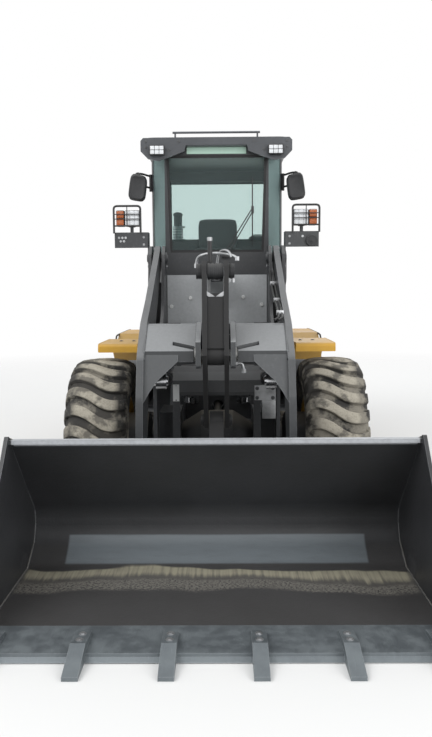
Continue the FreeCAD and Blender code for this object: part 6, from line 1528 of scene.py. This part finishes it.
# On the cowl: the exhaust's clamped shield with its slanting outlet and rain flap, and the air
# cleaner's ribbed cap with a domed top.
stack_at, cleaner_at = (-0.4, 1.721), (0.4, 1.721)
shield = [rod((*stack_at, 1.93), (*stack_at, 2.19), 0.05, 40)]
for z in (1.936, 2.06, 2.184):
    shield.append(rod((*stack_at, z - 0.007), (*stack_at, z + 0.007), 0.0535, 40))
    shield.append(
        box(
            (stack_at[0] + 0.046, stack_at[1] - 0.012, z - 0.008),
            (stack_at[0] + 0.07, stack_at[1] + 0.012, z + 0.008),
            0.002,
        )
    )
fitted("exhaust_shield", galvanised, "rear_chassis", "pin_steel",
    *shield,
)
# The shield's perforations are black discs on its face: painted shade seen through the holes.
hole_shade_discs = []
for row in range(9):
    for k in range(18):
        a = math.tau * (k + 0.5 * (row % 2)) / 18
        c, s = math.cos(a), math.sin(a)
        z = 1.955 + 0.0255 * row
        hole_shade_discs.append(
            rod(
                (stack_at[0] + 0.049 * c, stack_at[1] + 0.049 * s, z),
                (stack_at[0] + 0.0506 * c, stack_at[1] + 0.0506 * s, z),
                0.0055,
                10,
            )
        )
fitted("exhaust_hole_shade", lamp_black, "rear_chassis", "charcoal",
    *hole_shade_discs, smooth=None
)
fitted("rain_flap", lamp_black, "rear_chassis", "charcoal",
    rod((stack_at[0], stack_at[1], 2.302), (stack_at[0], stack_at[1] + 0.002, 2.306), 0.048, 36),
    rod(
        (stack_at[0] - 0.03, stack_at[1] - 0.05, 2.304),
        (stack_at[0] + 0.03, stack_at[1] - 0.05, 2.304),
        0.006,
        12,
    ),
    box(
        (stack_at[0] - 0.012, stack_at[1] - 0.075, 2.296),
        (stack_at[0] + 0.012, stack_at[1] - 0.05, 2.31),
        0.002,
    ),
)
cap_ribs = [rod((*cleaner_at, 2.08), (*cleaner_at, 2.104), 0.08, 40, tip=0.045)]
for k in range(28):
    a = math.tau * k / 28
    c, s = math.cos(a), math.sin(a)
    cap_ribs.append(rod(
        (
            cleaner_at[0] + 0.0855 * c, cleaner_at[1] + 0.0855 * s, 1.985,
        ), (cleaner_at[0] + 0.0855 * c, cleaner_at[1] + 0.0855 * s, 2.076), 0.003, 6,
    ))
cap_ribs.append(rod((*cleaner_at, 1.905), (*cleaner_at, 1.92), 0.05, 32))
fitted("cleaner_cap", lamp_black, "rear_chassis", "plastic",
    *cap_ribs,
)

# The tail: a loose tow pin with a drop handle in the casting's jaw and the bolts that hold the
# weight; rubber edging runs round the rear fenders.
pin_back = 2.835
fitted("tow_pin", galvanised, "rear_chassis", "pin_steel",
    rod((0, pin_back, 0.545), (0, pin_back, 0.76), 0.016, 28),
    rod((0, pin_back, 0.742), (0, pin_back, 0.756), 0.026, 28),
    tube(
        [
            (-0.02, pin_back, 0.756),
            (-0.034, pin_back, 0.8),
            (0, pin_back, 0.842),
            (0.034, pin_back, 0.8),
            (0.02, pin_back, 0.756),
        ],
        0.006,
    ),
)
bolts("weight_bolts", [
    ((s * x, 2.9055, z), (0, 1, 0)) for s in (1, -1) for x, z in ((0.18, 0.86), (0.18, 0.62), (0.36, 0.74))
], "rear_chassis", dark_bolt_tree, 0.02, 0.014, 0.032)
edging = [tube([(s * 0.96, y, z) for y, z in (
    (1.117, 0.905), (1.117, 1.08), (1.14, 1.117), (1.18, 1.134), (1.68, 1.134), (2.18, 1.134),
    (2.235, 1.117), (2.257, 1.085),
)], 0.008, steps=6) for s in (1, -1)]
fitted("fender_edging", rubber_seal, "rear_chassis", "plastic",
    *edging, smooth=60
)
bolts("rear_fender_bolts", [
    ((s * 0.6, y, 1.1405), (0, 0, 1)) for s in (1, -1) for y in (1.25, 1.5, 1.85, 2.1)
], "rear_chassis", dark_bolt_tree, 0.009, 0.007, 0.015)

# The front fenders: a rolled lip round the free edge and two cup-head bolts into each arm.
lips = [tube([(s * 0.812, y, z) for y, z in (
    (-0.692, 1.132), (-0.692, 1.172), (-0.68, 1.187), (-0.64, 1.187), (-0.4, 1.187), (-0.17, 1.187),
    (-0.14, 1.176), (0.06, 1.01),
)], 0.005, steps=6) for s in (1, -1)]
fitted("fender_lips", body_yellow, "front_chassis", "yellow",
    *lips, smooth=60
)
bolts("fender_bolts", [
    ((s * x, -0.435, 1.19), (0, 0, 1)) for s in (1, -1) for x in (0.6, 0.69)
], "front_chassis", dark_bolt_tree, 0.009, 0.006, 0.016)

# Bolts along the frames, where plates are bolted or hoses are clamped.
bolts("frame_bolts", [
    ((s * 0.3665, y, z), (s, 0, 0)) for s in (1, -1) for y, z in (
        (0.62, 0.88), (0.68, 0.88), (1.15, 0.9), (1.24, 0.9), (1.33, 0.9), (2.0, 0.9),
        (2.12, 0.9), (2.42, 0.9), (2.56, 0.9),
    )
], "rear_chassis", dark_bolt_tree, 0.011, 0.009, 0.017)
bolts("tower_bolts", [
    ((s * 0.5215, y, z), (s, 0, 0)) for s in (1, -1) for y, z in (
        (0.02, 1.56), (0.02, 1.64), (0.1, 1.56), (0.1, 1.64),
    )
], "front_chassis", dark_bolt_tree, 0.011, 0.009, 0.018)
